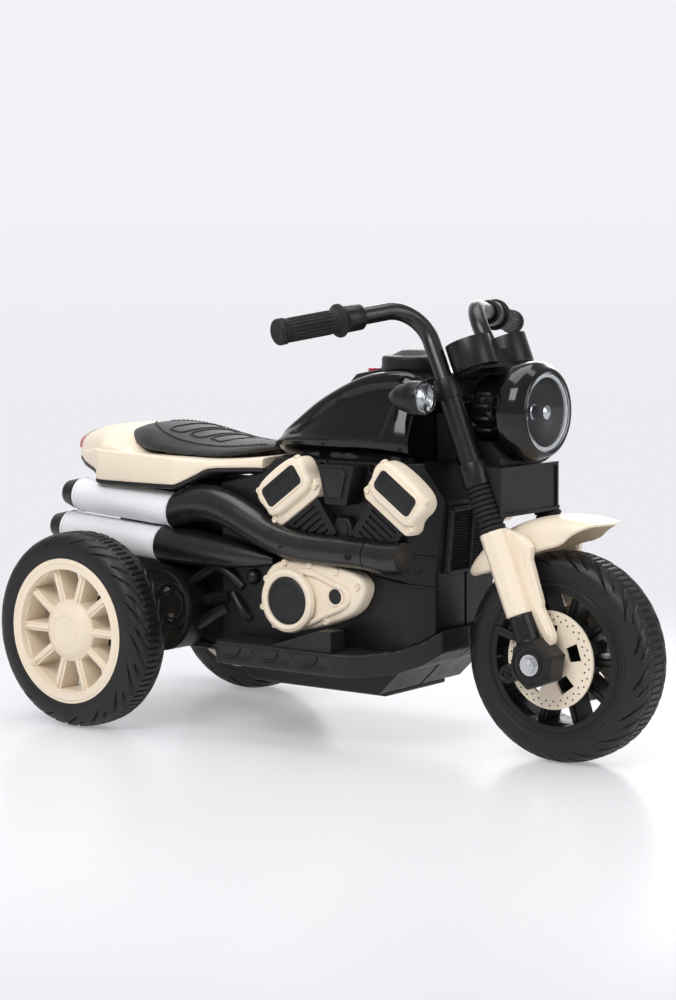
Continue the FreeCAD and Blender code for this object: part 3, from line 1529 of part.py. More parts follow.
def make_tail():
    """The cream tail cover, the black edging under it and the red tail light."""
    cover = fused([tail_block(), tail_hump()])
    cover = cover.cut(tail_hollow()).cut(tail_hump(size("tail_wall"))).cut(whole_body_block())
    cover = cover.cut(exhaust_space())
    feature("tail_cover", max(cover.Solids, key=lambda solid: solid.Volume))
    wall = size("tail_wall")
    foot = tail_foot_z() - size("tray_height")
    hollow = plan_prism(tail_plan(wall), foot, size("tray_height"))
    rim = plan_prism(tail_plan(), foot, size("tray_height")).cut(hollow)
    front = size("tail_front_x") - TAIL_PLAN_shares[2][0] * tail_length()
    rear = size("tail_front_x") - TAIL_HUMP_shares[0][0] * tail_length() + wall
    half = size("tail_half_width")
    beside = Part.makeBox(front - rear, 2 * half, size("tray_height"), Vector(rear, -half, foot))
    feature("tail_edging", rim.common(beside).cut(exhaust_space()))
    make_tail_light()


def make_tail_light():
    """The red lamp that closes the tapering end."""
    half_share, foot_share, top_share = TAIL_HUMP_shares[-1][1:]
    half = half_share * size("tail_half_width")
    low = tail_foot_z() + foot_share * size("tail_height")
    high = tail_foot_z() + top_share * size("tail_height")
    middle = (low + high) / 2
    rings = []
    for depth_share, spread_share in TAIL_LIGHT_shares:
        x = tail_rear_x() - depth_share * size("tail_light_depth")
        width = half * spread_share
        height = (high - low) / 2 * spread_share
        right = [(out * width, up * height) for out, up in LIGHT_SECTION_shares]
        points = [(-y, z) for y, z in right] + [(y, z) for y, z in reversed(right)]
        rings.append([Vector(x, y, middle + z) for y, z in points])
    feature("tail_light", loft(rings, ruled=True))


def seat_ring(station):
    """One section of the seat pad: flat under, drawn in at the side and crowned."""
    along, half_share, foot_share, crown_share = station
    rear = rear_axle_x() - size("seat_overhang")
    x = rear + along * (size("seat_front_x") - rear)
    half = half_share * size("seat_half_width")
    foot = body_top_z() - size("seat_sink") + foot_share * size("seat_height")
    tall = (crown_share - foot_share) * size("seat_height")
    right = [(across * half, foot + up * tall) for across, up in SEAT_SECTION_shares]
    points = [(-y, z) for y, z in right] + [(0, foot + tall)] + [(y, z) for y, z in reversed(right)]
    return [Vector(x, y, z) for y, z in points]


def make_seat():
    """The seat pad, seated on the tail cover."""
    pad_block = loft([seat_ring(station) for station in SEAT_STATION_shares])
    half = size("tail_half_width")
    under = side_prism(tail_side(size("seat_clearance")), -half, half)
    hump = tail_hump(-size("seat_clearance"))
    shape = pad_block.cut(under).cut(hump).cut(whole_body_block())
    shape = shape.cut(tank_block(-size("seat_clearance")))
    feature("seat_pad", max(shape.Solids, key=lambda solid: solid.Volume))


# Exhaust

def muffler_line(front_x, front_z):
    """Front end and backward direction of one muffler on the right side."""
    angle = math.radians(size("muffler_rise_angle"))
    return Vector(front_x, RIGHT * size("muffler_y"), front_z), Vector(-math.cos(angle), 0, math.sin(angle))


def muffler_lines():
    """The upper and the lower muffler."""
    upper_x = rear_axle_x() + size("upper_muffler_reach")
    lower_x = rear_axle_x() + size("lower_muffler_reach")
    return [muffler_line(upper_x, size("upper_muffler_front_z")),
            muffler_line(lower_x, size("lower_muffler_front_z"))]


def muffler_space():
    """The room that the mufflers take, with their clearance, on both sides."""
    radius = size("muffler_radius") + size("seat_clearance")
    length = size("muffler_length") + size("muffler_cap_length")
    right = Part.Compound([
        Part.makeCylinder(radius, length, front, back) for front, back in muffler_lines()
    ])
    return Part.Compound(right.Solids + right.mirror(Vector(), Vector(0, 1, 0)).Solids)


def make_mufflers():
    """Two pale mufflers a side, each with a dark recessed end cap."""
    length = size("muffler_length")
    tubes = []
    caps = []
    for front, back in muffler_lines():
        tubes.append(Part.makeCylinder(size("muffler_radius"), length, front, back))
        end = front + back * length
        cap = Part.makeCone(
            size("muffler_radius"), size("muffler_cap_end_radius"), size("muffler_cap_length"), end,
            back
        )
        mouth = end + back * (size("muffler_cap_length") - size("muffler_cap_recess"))
        bore_radius = size("muffler_cap_end_radius") - size("body_wall")
        caps.append(cap.cut(Part.makeCylinder(bore_radius, size("muffler_cap_length"), mouth, back)))
    mirrored_group("mufflers", tubes)
    mirrored_group("muffler_caps", caps)


def header_length():
    """Length of the upper exhaust header, from its muffler to behind the nose."""
    return nose_x() - size("header_setback") - rear_axle_x() - size("upper_muffler_reach")


def header_shape(grow=0.0):
    """The right exhaust header: an upper pipe with a hump and a lower tapering one."""
    (upper, back), (lower, lower_back) = muffler_lines()
    way_out = size("header_y") - size("muffler_y")
    drop = upper.z - size("header_front_z")
    centres = []
    for along, out, up, thick in HEADER_shares:
        x = upper.x + along * header_length()
        y = RIGHT * (size("muffler_y") + out * way_out)
        centre = Vector(x, y, size("header_front_z") + up * drop)
        centres.append((centre, thick * size("header_radius") + grow))
    stations = []
    for k, (centre, radius) in enumerate(centres):
        before = centres[max(k - 1, 0)][0]
        after = centres[min(k + 1, len(centres) - 1)][0]
        way = back * -1 if k == 0 else unit(after - before)
        stations.append((centre, way, radius))
    pipe = round_loft(stations)
    taper = []
    for along, up, thick in LOWER_HEADER_shares:
        centre = lower + Vector(along * size("lower_header_length"), 0, up * size("muffler_radius"))
        way = lower_back * -1 if along == 0 else Vector(1, 0, 0)
        taper.append((centre, way, thick * size("header_radius") + grow))
    return fused([pipe, round_loft(taper)])


def exhaust_space():
    """The room that the mufflers and headers take, with their clearance, on both sides."""
    right = header_shape(size("seat_clearance"))
    left = right.mirror(Vector(), Vector(0, 1, 0))
    return Part.Compound(muffler_space().Solids + right.Solids + left.Solids)


def make_headers():
    """The exhaust headers, flat against the body, with a seam near the front."""
    shape = header_shape().cut(body_block()).cut(muffler_space())
    seam_x = muffler_lines()[0][0].x + HEADER_SEAM_share * header_length()
    tall = size("body_height")
    ring = Part.makeBox(
        size("header_seam_width"), tall, tall,
        Vector(seam_x, -tall, size("header_front_z") - tall / 2)
    )
    core = Part.makeCylinder(size("header_radius") - size("header_seam_width"), tall,
                             Vector(seam_x - tall / 2, RIGHT * size("header_y"), size("header_front_z")),
                             Vector(1, 0, 0))
    shape = shape.cut(ring.cut(core))
    shape = max(shape.Solids, key=lambda solid: solid.Volume)
    mirrored_group("exhaust_headers", [shape])


# Engine dress on the body's sides

def cylinder_points(lean, start, end, width):
    """A block's outline along one cylinder's line, from the crank."""
    angle = math.radians(size("cylinder_angle"))
    along = Vector(lean * math.sin(angle), math.cos(angle), 0)
    across = Vector(along.y, -along.x, 0)
    crank = Vector(size("crank_x"), size("crank_z"), 0)
    corners = [(start, -width / 2), (start, width / 2), (end, width / 2), (end, -width / 2)]
    spots = [crank + along * far + across * out for far, out in corners]
    return [(spot.x, spot.y) for spot in spots]


def make_cylinders():
    """The finned cylinders, two a side."""
    near_y = size("body_half_width")
    far_y = near_y + size("cylinder_depth")
    count = int((size("cylinder_end") - size("cylinder_start")) / size("fin_pitch"))
    blocks = []
    for lean in BOTH_SIDES:
        block = side_prism(
            cylinder_points(lean, size("cylinder_start"), size("cylinder_end"), size("cylinder_width")),
            near_y, far_y
        )
        grooves = []
        for k in range(1, count):
            start = size("cylinder_start") + k * size("fin_pitch")
            inner = far_y - size("fin_depth")
            points = cylinder_points(lean, start, start + size("fin_groove"), size("fin_groove_width"))
            grooves.append(side_prism(points, inner, far_y + size("overrun")))
        block = block.cut(Part.Compound(grooves)).cut(header_shape(size("seat_clearance")))
        blocks.append(max(block.Solids, key=lambda solid: solid.Volume))
    mirrored_group("cylinder_blocks", blocks)


def chamfered(points, corner):
    """An outline with each corner cut across."""
    count = len(points)
    result = []
    for k in range(count):
        here = Vector(points[k][0], points[k][1], 0)
        for other in (points[k - 1], points[(k + 1) % count]):
            way = unit(Vector(other[0], other[1], 0) - here)
            spot = here + way * corner
            result.append((spot.x, spot.y))
    return result


def make_head_covers():
    """The cream head covers, and the dark inserts in the right ones' faces."""
    near_y = size("body_half_width")
    far_y = near_y + size("head_depth")
    start = size("head_distance") - size("head_height") / 2
    end = size("head_distance") + size("head_height") / 2
    depth = size("head_insert_depth")
    gap = size("seat_clearance")
    covers = []
    inserts = []
    for lean in BOTH_SIDES:
        outline = chamfered(cylinder_points(lean, start, end, size("head_width")), size("head_corner"))
        middle = size("head_distance") + size("head_insert_depth")
        low = middle - size("head_insert_height") / 2
        high = middle + size("head_insert_height") / 2
        window = chamfered(
            cylinder_points(lean, low, high, size("head_insert_width")), size("head_corner") / 2
        )
        slim = chamfered(
            cylinder_points(lean, low + gap, high - gap, size("head_insert_width") - 2 * gap),
            size("head_corner") / 2
        )
        cover = side_prism(outline, near_y, far_y).cut(side_prism(window, far_y - 2 * depth, far_y + depth))
        covers.append(cover.cut(header_shape(gap)))
        inserts.append(side_prism(slim, far_y - 2 * depth, far_y - depth))
    mirrored_group("head_covers", covers)
    return inserts


def make_air_boxes():
    """The tapering air boxes between the head covers."""
    near_y = size("body_half_width")
    x = size("air_box_x")
    foot = size("air_box_foot_z")
    top = foot + size("air_box_height")
    wide = size("air_box_width") / 2
    slim = size("air_box_foot_width") / 2
    block = side_prism(
        [(x - slim, foot), (x + slim, foot), (x + wide, top), (x - wide, top)], near_y,
        near_y + size("air_box_depth")
    )
    mirrored_group("air_boxes", [block])


def hull_points(first, first_radius, second, second_radius, steps=24):
    """Outline round two circles, sampled as a fan of flats."""
    points = ring_points(first_radius, steps * 2, first) + ring_points(second_radius, steps * 2, second)
    points.sort()

    def half_hull(ordered):
        chain = []
        for point in ordered:
            while len(chain) > 1 and (chain[-1][0] - chain[-2][0]) * (point[1] - chain[-2][1]) <= (
                    chain[-1][1] - chain[-2][1]) * (point[0] - chain[-2][0]):
                chain.pop()
            chain.append(point)
        return chain[:-1]

    return half_hull(points) + half_hull(points[::-1])


def make_engine_covers():
    """The cream drive covers, and their dark round caps for the right side."""
    near_y = size("body_half_width")
    far_y = near_y + size("cover_depth")
    ring_y = far_y + size("cover_ring_depth")
    x = size("cover_x")
    z = size("cover_z")
    outline = hull_points(
        (x, z), size("cover_radius"), (size("cover_tip_x"), size("cover_tip_z")),
        size("cover_tip_radius")
    )
    ring = cross_cylinder(size("cover_ring_radius"), x, z, far_y - size("overrun"), ring_y)
    gap = size("seat_clearance")
    depth = size("cover_disc_depth")
    port = (size("cover_port_x"), size("cover_port_z"))
    cover = fused([side_prism(outline, near_y, far_y), ring])
    cover = cover.cut(cross_cylinder(size("cover_disc_radius"), x, z, ring_y - depth, ring_y + depth))
    cover = cover.cut(cross_cylinder(
        size("cover_port_radius"), port[0], port[1], far_y - depth, far_y + depth
    ))
    cover = cover.cut(header_shape(gap))
    caps = [cross_cylinder(size("cover_disc_radius") - gap, x, z, ring_y - depth, ring_y),
            cross_cylinder(size("cover_port_radius") - gap, port[0], port[1], far_y - depth, far_y)]
    mirrored_group("engine_covers", [cover])
    return caps


# Drive inside the body

def gear_shape(teeth, place_xz, turn, bore_radius):
    """A spur gear across the bike, with a tooth at the given turn."""
    module = size("gear_module")
    pitch_radius = module * teeth / 2
    step = 2 * math.pi / teeth
    points = []
    for tooth in range(teeth):
        for across_share, out_share in TOOTH_shares:
            angle = turn + (tooth + across_share) * step
            radius = pitch_radius + out_share * module
            points.append((place_xz[0] + radius * math.cos(angle), place_xz[1] + radius * math.sin(angle)))
    near_y = size("gear_y")
    far_y = near_y + size("gear_width")
    gear = side_prism(points, near_y, far_y)
    if bore_radius:
        gear = gear.cut(cross_cylinder(bore_radius, place_xz[0], place_xz[1], near_y, far_y))
    return gear


def make_drive():
    """Pinion on the motor's shaft, idler on its pin and the drive gear on the right wheel's hub."""
    module = size("gear_module")
    gap = size("running_clearance")
    line = math.radians(size("drive_line_angle"))
    axle = (-size("wheelbase") / 2, size("tyre_radius"))
    idler = drive_line_point(module * (DRIVE_TEETH + IDLER_TEETH) / 2)
    motor = motor_place()
    near_y = size("gear_y")
    far_y = near_y + size("gear_width")
    hub_y = size("rear_track") / 2 - size("rear_hub_inner")
    drive = gear_shape(DRIVE_TEETH, axle, line, 0)
    sleeve = cross_cylinder(size("drive_sleeve_radius"), axle[0], axle[1], near_y, hub_y)
    bore = cross_cylinder(size("axle_radius") + gap, axle[0], axle[1], 0, hub_y + size("overrun"))
    feature("drive_gear", fused([drive, sleeve]).cut(bore))
    idler_turn = line + math.pi + math.pi / IDLER_TEETH
    feature("idler_gear", gear_shape(IDLER_TEETH, idler, idler_turn, size("idler_shaft_radius") + gap))
    facing_turn = line - idler_turn
    idler_phase = (facing_turn * IDLER_TEETH / (2 * math.pi)) % 1
    pinion_turn = line + math.pi + (idler_phase + HALF_TOOTH_share) * 2 * math.pi / PINION_TEETH
    waist = size("body_waist_half_width")
    shaft_y = waist - size("motor_length") / 2
    shaft = cross_cylinder(size("pinion_shaft_radius"), motor[0], motor[1], shaft_y, far_y)
    feature("motor_pinion", fused([gear_shape(PINION_TEETH, motor, pinion_turn, 0), shaft]))
    inner_y = waist - size("body_wall")
    can = cross_cylinder(size("motor_radius"), motor[0], motor[1], inner_y - size("motor_length"), inner_y)
    feature(
        "drive_motor",
        can.cut(cross_cylinder(size("pinion_shaft_radius") + gap, motor[0], motor[1], shaft_y - gap, waist))
    )
    make_gearboxes(axle, idler, motor)


def make_gearboxes(axle, idler, motor):
    """A housing on each side of the body, open towards it; the right one carries the idler's pin."""
    waist = size("body_waist_half_width")
    outer_y = waist + size("gearbox_depth")
    wall = size("gearbox_wall")
    outline = hull_points(motor, size("gearbox_radius"), axle, size("gearbox_axle_radius"))
    inner = hull_points(motor, size("gearbox_radius") - wall, axle, size("gearbox_axle_radius") - wall)
    case = side_prism(outline, waist, outer_y).cut(side_prism(inner, waist, outer_y - wall))
    left_hole = cross_cylinder(
        size("axle_radius") + size("running_clearance"), axle[0], axle[1], waist, outer_y
    )
    feature("axle_housing_left", case.cut(left_hole).mirror(Vector(), Vector(0, 1, 0)))
    pin = cross_cylinder(size("idler_shaft_radius"), idler[0], idler[1], size("gear_y"), outer_y - wall / 2)
    hole = cross_cylinder(
        size("drive_sleeve_radius") + size("pedal_gap") / 2, axle[0], axle[1], waist, outer_y
    )
    feature("gearbox_housing_right", fused([case, pin]).cut(hole))


def make_battery():
    """The battery, on the floor of the body."""
    box = DOC.addObject("Part::Box", "battery_box")
    box.setExpression("Length", bound("battery_length"))
    box.setExpression("Width", bound("battery_width"))
    box.setExpression("Height", bound("battery_height"))
    keep(
        place(
            box, f"{MIDDLE} + battery_x - battery_length / 2", "-battery_width / 2",
            "body_foot_z + body_wall"
        ),
        "battery"
    )


# Build, check and write

def make_all():
    """Every piece of the bike."""
    make_wheels()
    make_axles()
    make_fork_tubes()
    for name, shape in (
        ("fork_gaiters", gaiter_shape()), ("fork_sliders", slider_shape()),
        ("axle_carriers", carrier_shape())
    ):
        mirrored_group(name, [shape], fork_placement())
    make_lower_clamp()
    make_upper_clamp()
    make_steering_column()
    make_fender()
    make_headlight()
    make_gauges()
    make_turn_signals()
    make_handlebars()
    make_grips()
    make_body_shells()
    make_belly_pan()
    make_grille()
    make_footboards()
    make_pedal()
    make_tank()
    make_dash()
    make_seat()
    make_tail()
    make_mufflers()
    make_headers()
    make_cylinders()
    mirrored_group("engine_trims", make_head_covers() + make_engine_covers())
    make_air_boxes()
    make_drive()
    make_battery()


def check_and_write():
    """Stop at any failed object or bad shape, then write each piece to its own file."""
    DOC.recompute()
    for item in DOC.Objects:
        if "Invalid" in item.State or "Error" in item.State:
            raise ValueError(f"{item.Label}: {item.State}")
    for piece in PIECES:
        if piece.Shape.isNull() or not piece.Shape.isValid() or not piece.Shape.Solids:
            raise ValueError(f"{piece.Label}: bad shape")
    os.makedirs("parts", exist_ok=True)
    for piece in PIECES:
        piece.Shape.exportStep(f"parts/{piece.Label}.step")
        print(f"{piece.Label}: {len(piece.Shape.Solids)} solids, {piece.Shape.Volume:.0f} cubic mm")
    print(f"{len(PIECES)} pieces")


make_all()
check_and_write()
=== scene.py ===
import json
import math

import bmesh
import bpy
from mathutils import Matrix, Vector
from mathutils.bvhtree import BVHTree


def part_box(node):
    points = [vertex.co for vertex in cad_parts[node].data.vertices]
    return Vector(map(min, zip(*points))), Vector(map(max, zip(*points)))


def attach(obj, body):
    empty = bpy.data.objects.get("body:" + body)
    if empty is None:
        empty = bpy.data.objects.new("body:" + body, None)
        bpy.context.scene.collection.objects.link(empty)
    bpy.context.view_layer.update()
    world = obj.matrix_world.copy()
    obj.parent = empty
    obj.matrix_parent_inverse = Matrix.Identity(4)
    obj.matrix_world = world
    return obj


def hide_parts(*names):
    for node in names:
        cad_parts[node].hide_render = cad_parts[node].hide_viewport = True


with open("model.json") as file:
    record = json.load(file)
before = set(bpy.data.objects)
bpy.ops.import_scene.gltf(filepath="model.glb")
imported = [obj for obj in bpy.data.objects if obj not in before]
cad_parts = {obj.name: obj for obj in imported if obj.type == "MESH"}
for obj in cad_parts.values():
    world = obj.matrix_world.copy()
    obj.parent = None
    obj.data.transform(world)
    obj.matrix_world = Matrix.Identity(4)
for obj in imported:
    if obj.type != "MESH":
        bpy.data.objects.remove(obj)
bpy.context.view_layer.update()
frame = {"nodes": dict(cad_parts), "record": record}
NODES = frame["nodes"]
JOINTS = {joint["name"]: joint for joint in frame["record"]["behaviour"]["joints"]}
BODIES = frame["record"]["behaviour"]["bodies"]
BODY_OF = {node: body for body, nodes in BODIES.items() for node in nodes}
SLOT_OF = {part["node"]: part["material_slot"] for part in frame["record"]["subparts"]}

# Places that the joints give, in metres

FRONT_AXLE = Vector(JOINTS["front_wheel_spin"]["pos_m"])
REAR_AXLES = {side: Vector(JOINTS[f"rear_wheel_{side}_spin"]["pos_m"]) for side in ("right", "left")}
LEG_UP = Vector(JOINTS["steering_turn"]["axis"]).normalized()
LEG_FORWARD = Vector((LEG_UP.z, 0, -LEG_UP.x))
MIDDLE = Vector(((FRONT_AXLE.x + REAR_AXLES["right"].x) / 2, 0, 0))
SIDES = {"right": -1, "left": 1}
ACROSS = Vector((0, 1, 0))
UP = Vector((0, 0, 1))
FORWARD = Vector((1, 0, 0))
TURN = 2 * math.pi

# Colours, linear

BLACK = (0.0075, 0.0075, 0.008)
SOFT_BLACK = (0.010, 0.010, 0.0108)
GLOSS_BLACK = (0.004, 0.004, 0.0043)
TYRE_BLACK = (0.0085, 0.0085, 0.009)
CREAM = (0.85, 0.735, 0.585)
PEARL = (0.83, 0.84, 0.865)
STEEL = (0.62, 0.63, 0.65)
NYLON = (0.8, 0.79, 0.75)
RED = (0.42, 0.012, 0.02)
LED_WHITE = (0.86, 0.87, 0.88)
CLEAR = (0.93, 0.95, 0.96)
PALE_STAGE = (0.9, 0.9, 0.915)


# Materials

NOISE_RANGE = (0.3, 0.7)
GRAIN_SCALE = 1500
GRAIN_DEPTH = 0.0002
RIPPLE_SCALE = 60
RIPPLE_DEPTH = 0.002
DRIFT_SCALE = 9
PLAIN_DETAIL = 2.0
ROUGH_DRIFT_share = 0.15
PEBBLE_SCALE = 520
PEBBLE_STRENGTH = 0.35
LEATHER_GRAIN = 0.12
LEATHER_CHANGE = 0.15
LEATHER_ROUGHNESS = (0.48, 0.62)
LEATHER_SHEEN = 0.12
STEEL_STRETCH = (1, 0.08, 1)
STEEL_GRAIN = 0.08
STEEL_CHANGE = 0.12
STEEL_ROUGHNESS = (0.24, 0.4)
CLEAR_CHANGE = 0.03
CLEAR_ROUGHNESS = (0.018, 0.042)
CLEAR_INDEX = 1.18


def shader(name):
    """A new material with its nodes and main shader."""
    material = bpy.data.materials.new(name)
    material.use_nodes = True
    tree = material.node_tree
    return material, tree, tree.nodes["Principled BSDF"]


def set_inputs(tree, node, inputs):
    """Give a node's inputs their values, or links where another node's output is given."""
    for name, value in inputs.items():
        if isinstance(value, bpy.types.NodeSocket):
            tree.links.new(value, node.inputs[name])
        else:
            node.inputs[name].default_value = value


def add_node(tree, kind, inputs, **settings):
    """A new shader node with its settings and inputs."""
    node = tree.nodes.new(f"ShaderNode{kind}")
    for name, value in settings.items():
        setattr(node, name, value)
    set_inputs(tree, node, inputs)
    return node


def own_space(tree):
    """Places in the object's own space."""
    return add_node(tree, "TexCoord", {}).outputs["Object"]


def add_noise(tree, scale, detail=4.0):
    """Noise over the object's own space."""
    inputs = {"Scale": scale, "Detail": detail, "Vector": own_space(tree)}
    return add_node(tree, "TexNoise", inputs).outputs["Fac"]


def spread(tree, source, low, high):
    """A noise stretched between two values."""
    ends = {"From Min": NOISE_RANGE[0], "From Max": NOISE_RANGE[1], "To Min": low, "To Max": high}
    return add_node(tree, "MapRange", {"Value": source, **ends}).outputs["Result"]


def tint(tree, source, colour, change):
    """A colour that drifts a little, darker and lighter, along a noise."""
    ramp = add_node(tree, "ValToRGB", {"Fac": source})
    for stop, place, factor in zip(ramp.color_ramp.elements, NOISE_RANGE, (1 - change, 1 + change)):
        stop.position = place
        stop.color = (*[min(1.0, part * factor) for part in colour], 1)
    return ramp.outputs["Color"]


def bump(tree, sources):
    """The normal of bumps laid over each other: each is a height, its strength and its depth in metres."""
    below = {}
    for height, strength, depth in sources:
        inputs = {"Height": height, "Strength": strength, "Distance": depth, **below}
        below = {"Normal": add_node(tree, "Bump", inputs).outputs["Normal"]}
    return below


def moulded(name, colour, roughness, grain=0.1, ripple=0.03, change=0.06, coat=0.0, metallic=0.0, shine=0.3):
    """Moulded plastic: a slow drift of colour and shine, a faint ripple and a fine grain."""
    material, tree, main = shader(name)
    drift = add_noise(tree, DRIFT_SCALE)
    fine = add_noise(tree, GRAIN_SCALE, PLAIN_DETAIL)
    waves = add_noise(tree, RIPPLE_SCALE, PLAIN_DETAIL)
    ends = [roughness * (1 - ROUGH_DRIFT_share), roughness * (1 + ROUGH_DRIFT_share)]
    set_inputs(tree, main, {
        "Base Color": tint(tree, drift, colour, change),
        "Roughness": spread(tree, waves, *ends),
        "Coat Weight": coat,
        "Metallic": metallic,
        "Specular IOR Level": shine,
        **bump(tree, [(waves, ripple, RIPPLE_DEPTH), (fine, grain, GRAIN_DEPTH)]),
    })
    return material


def leather(name, colour):
    """Grained leatherette: pebbles with creases between them, and a soft sheen."""
    material, tree, main = shader(name)
    pebbles = {"Scale": PEBBLE_SCALE, "Vector": own_space(tree)}
    cells = add_node(tree, "TexVoronoi", pebbles, feature="DISTANCE_TO_EDGE").outputs["Distance"]
    drift = add_noise(tree, DRIFT_SCALE * 2)
    fine = add_noise(tree, GRAIN_SCALE)
    set_inputs(tree, main, {
        "Base Color": tint(tree, drift, colour, LEATHER_CHANGE),
        "Roughness": spread(tree, fine, *LEATHER_ROUGHNESS),
        "Sheen Weight": LEATHER_SHEEN,
        **bump(tree, [(cells, PEBBLE_STRENGTH, GRAIN_DEPTH), (fine, LEATHER_GRAIN, GRAIN_DEPTH)]),
    })
    return material


def brushed(name, colour):
    """Zinc plated steel with a fine stretched grain."""
    material, tree, main = shader(name)
    stretch = add_node(tree, "Mapping", {"Vector": own_space(tree), "Scale": STEEL_STRETCH}).outputs["Vector"]
    fine = add_node(tree, "TexNoise", {"Vector": stretch, "Scale": GRAIN_SCALE}).outputs["Fac"]
    set_inputs(tree, main, {
        "Base Color": tint(tree, fine, colour, STEEL_CHANGE),
        "Roughness": spread(tree, fine, *STEEL_ROUGHNESS),
        "Metallic": 1.0,
        **bump(tree, [(fine, STEEL_GRAIN, GRAIN_DEPTH)]),
    })
    return material


def clear_plastic(name, colour):
    """Clear moulded plastic with a faint ripple."""
    material, tree, main = shader(name)
    waves = add_noise(tree, RIPPLE_SCALE)
    set_inputs(tree, main, {
        "Base Color": tint(tree, waves, colour, CLEAR_CHANGE),
        "Roughness": spread(tree, waves, *CLEAR_ROUGHNESS),
        "Transmission Weight": 1.0,
        "IOR": CLEAR_INDEX,
    })
    return material


MATERIALS = {
    "black_matte": moulded("matte_black_plastic", BLACK, 0.36, grain=0.25, shine=0.34),
    "black_satin": moulded("satin_black_plastic", BLACK, 0.29, grain=0.015, ripple=0.002, shine=0.6),
    "black_soft": moulded("soft_black_plastic", SOFT_BLACK, 0.46, grain=0.4, shine=0.42),
    "black_gloss": moulded("gloss_black_plastic", GLOSS_BLACK, 0.13, grain=0.02, ripple=0.015, coat=0.3),
    "cream": moulded("cream_plastic", CREAM, 0.34, grain=0.08, change=0.025),
    "silver_white": moulded("pearl_silver_plastic", PEARL, 0.3, grain=0.04, change=0.02, coat=0.2),
    "seat_leather": leather("black_leatherette", SOFT_BLACK),
    "tyre_black": moulded("tyre_plastic", TYRE_BLACK, 0.44, grain=0.35, shine=0.42),
    "rubber_black": moulded("black_rubber", SOFT_BLACK, 0.58, grain=0.5),
    "clear_lens": clear_plastic("clear_lens_plastic", CLEAR),
    "red_lens": moulded("red_lens_plastic", RED, 0.16, grain=0.02, change=0.12, coat=0.5),
    "red_button": moulded("red_button_plastic", RED, 0.25, coat=0.3),
    "reflector": moulded("plated_reflector", STEEL, 0.14, grain=0.03, metallic=1.0),
    "steel": brushed("zinc_steel", STEEL),
    "nylon": moulded("natural_nylon", NYLON, 0.45),
    "battery_case": moulded("battery_case_plastic", SOFT_BLACK, 0.5),
    "led": moulded("led_strip", LED_WHITE, 0.3, grain=0.05, change=0.04),
}


# Building helpers


SMOOTH_ANGLE = math.radians(35)
WELD = 0.00002
EDGE_STEPS = 3
STEEP = 0.95
LINE_SIDES = 8
BAR_SIDES = 10
FINE_STEPS = 96


def finish_piece(piece, material, body, nodes=()):
    """Give a piece its material, smooth shading, body and the nodes that it stands for."""
    piece.data.materials.append(MATERIALS[material])
    piece.data.shade_smooth()
    piece.data.set_sharp_from_angle(angle=SMOOTH_ANGLE)
    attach(piece, body)
    if nodes:
        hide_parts(*nodes)


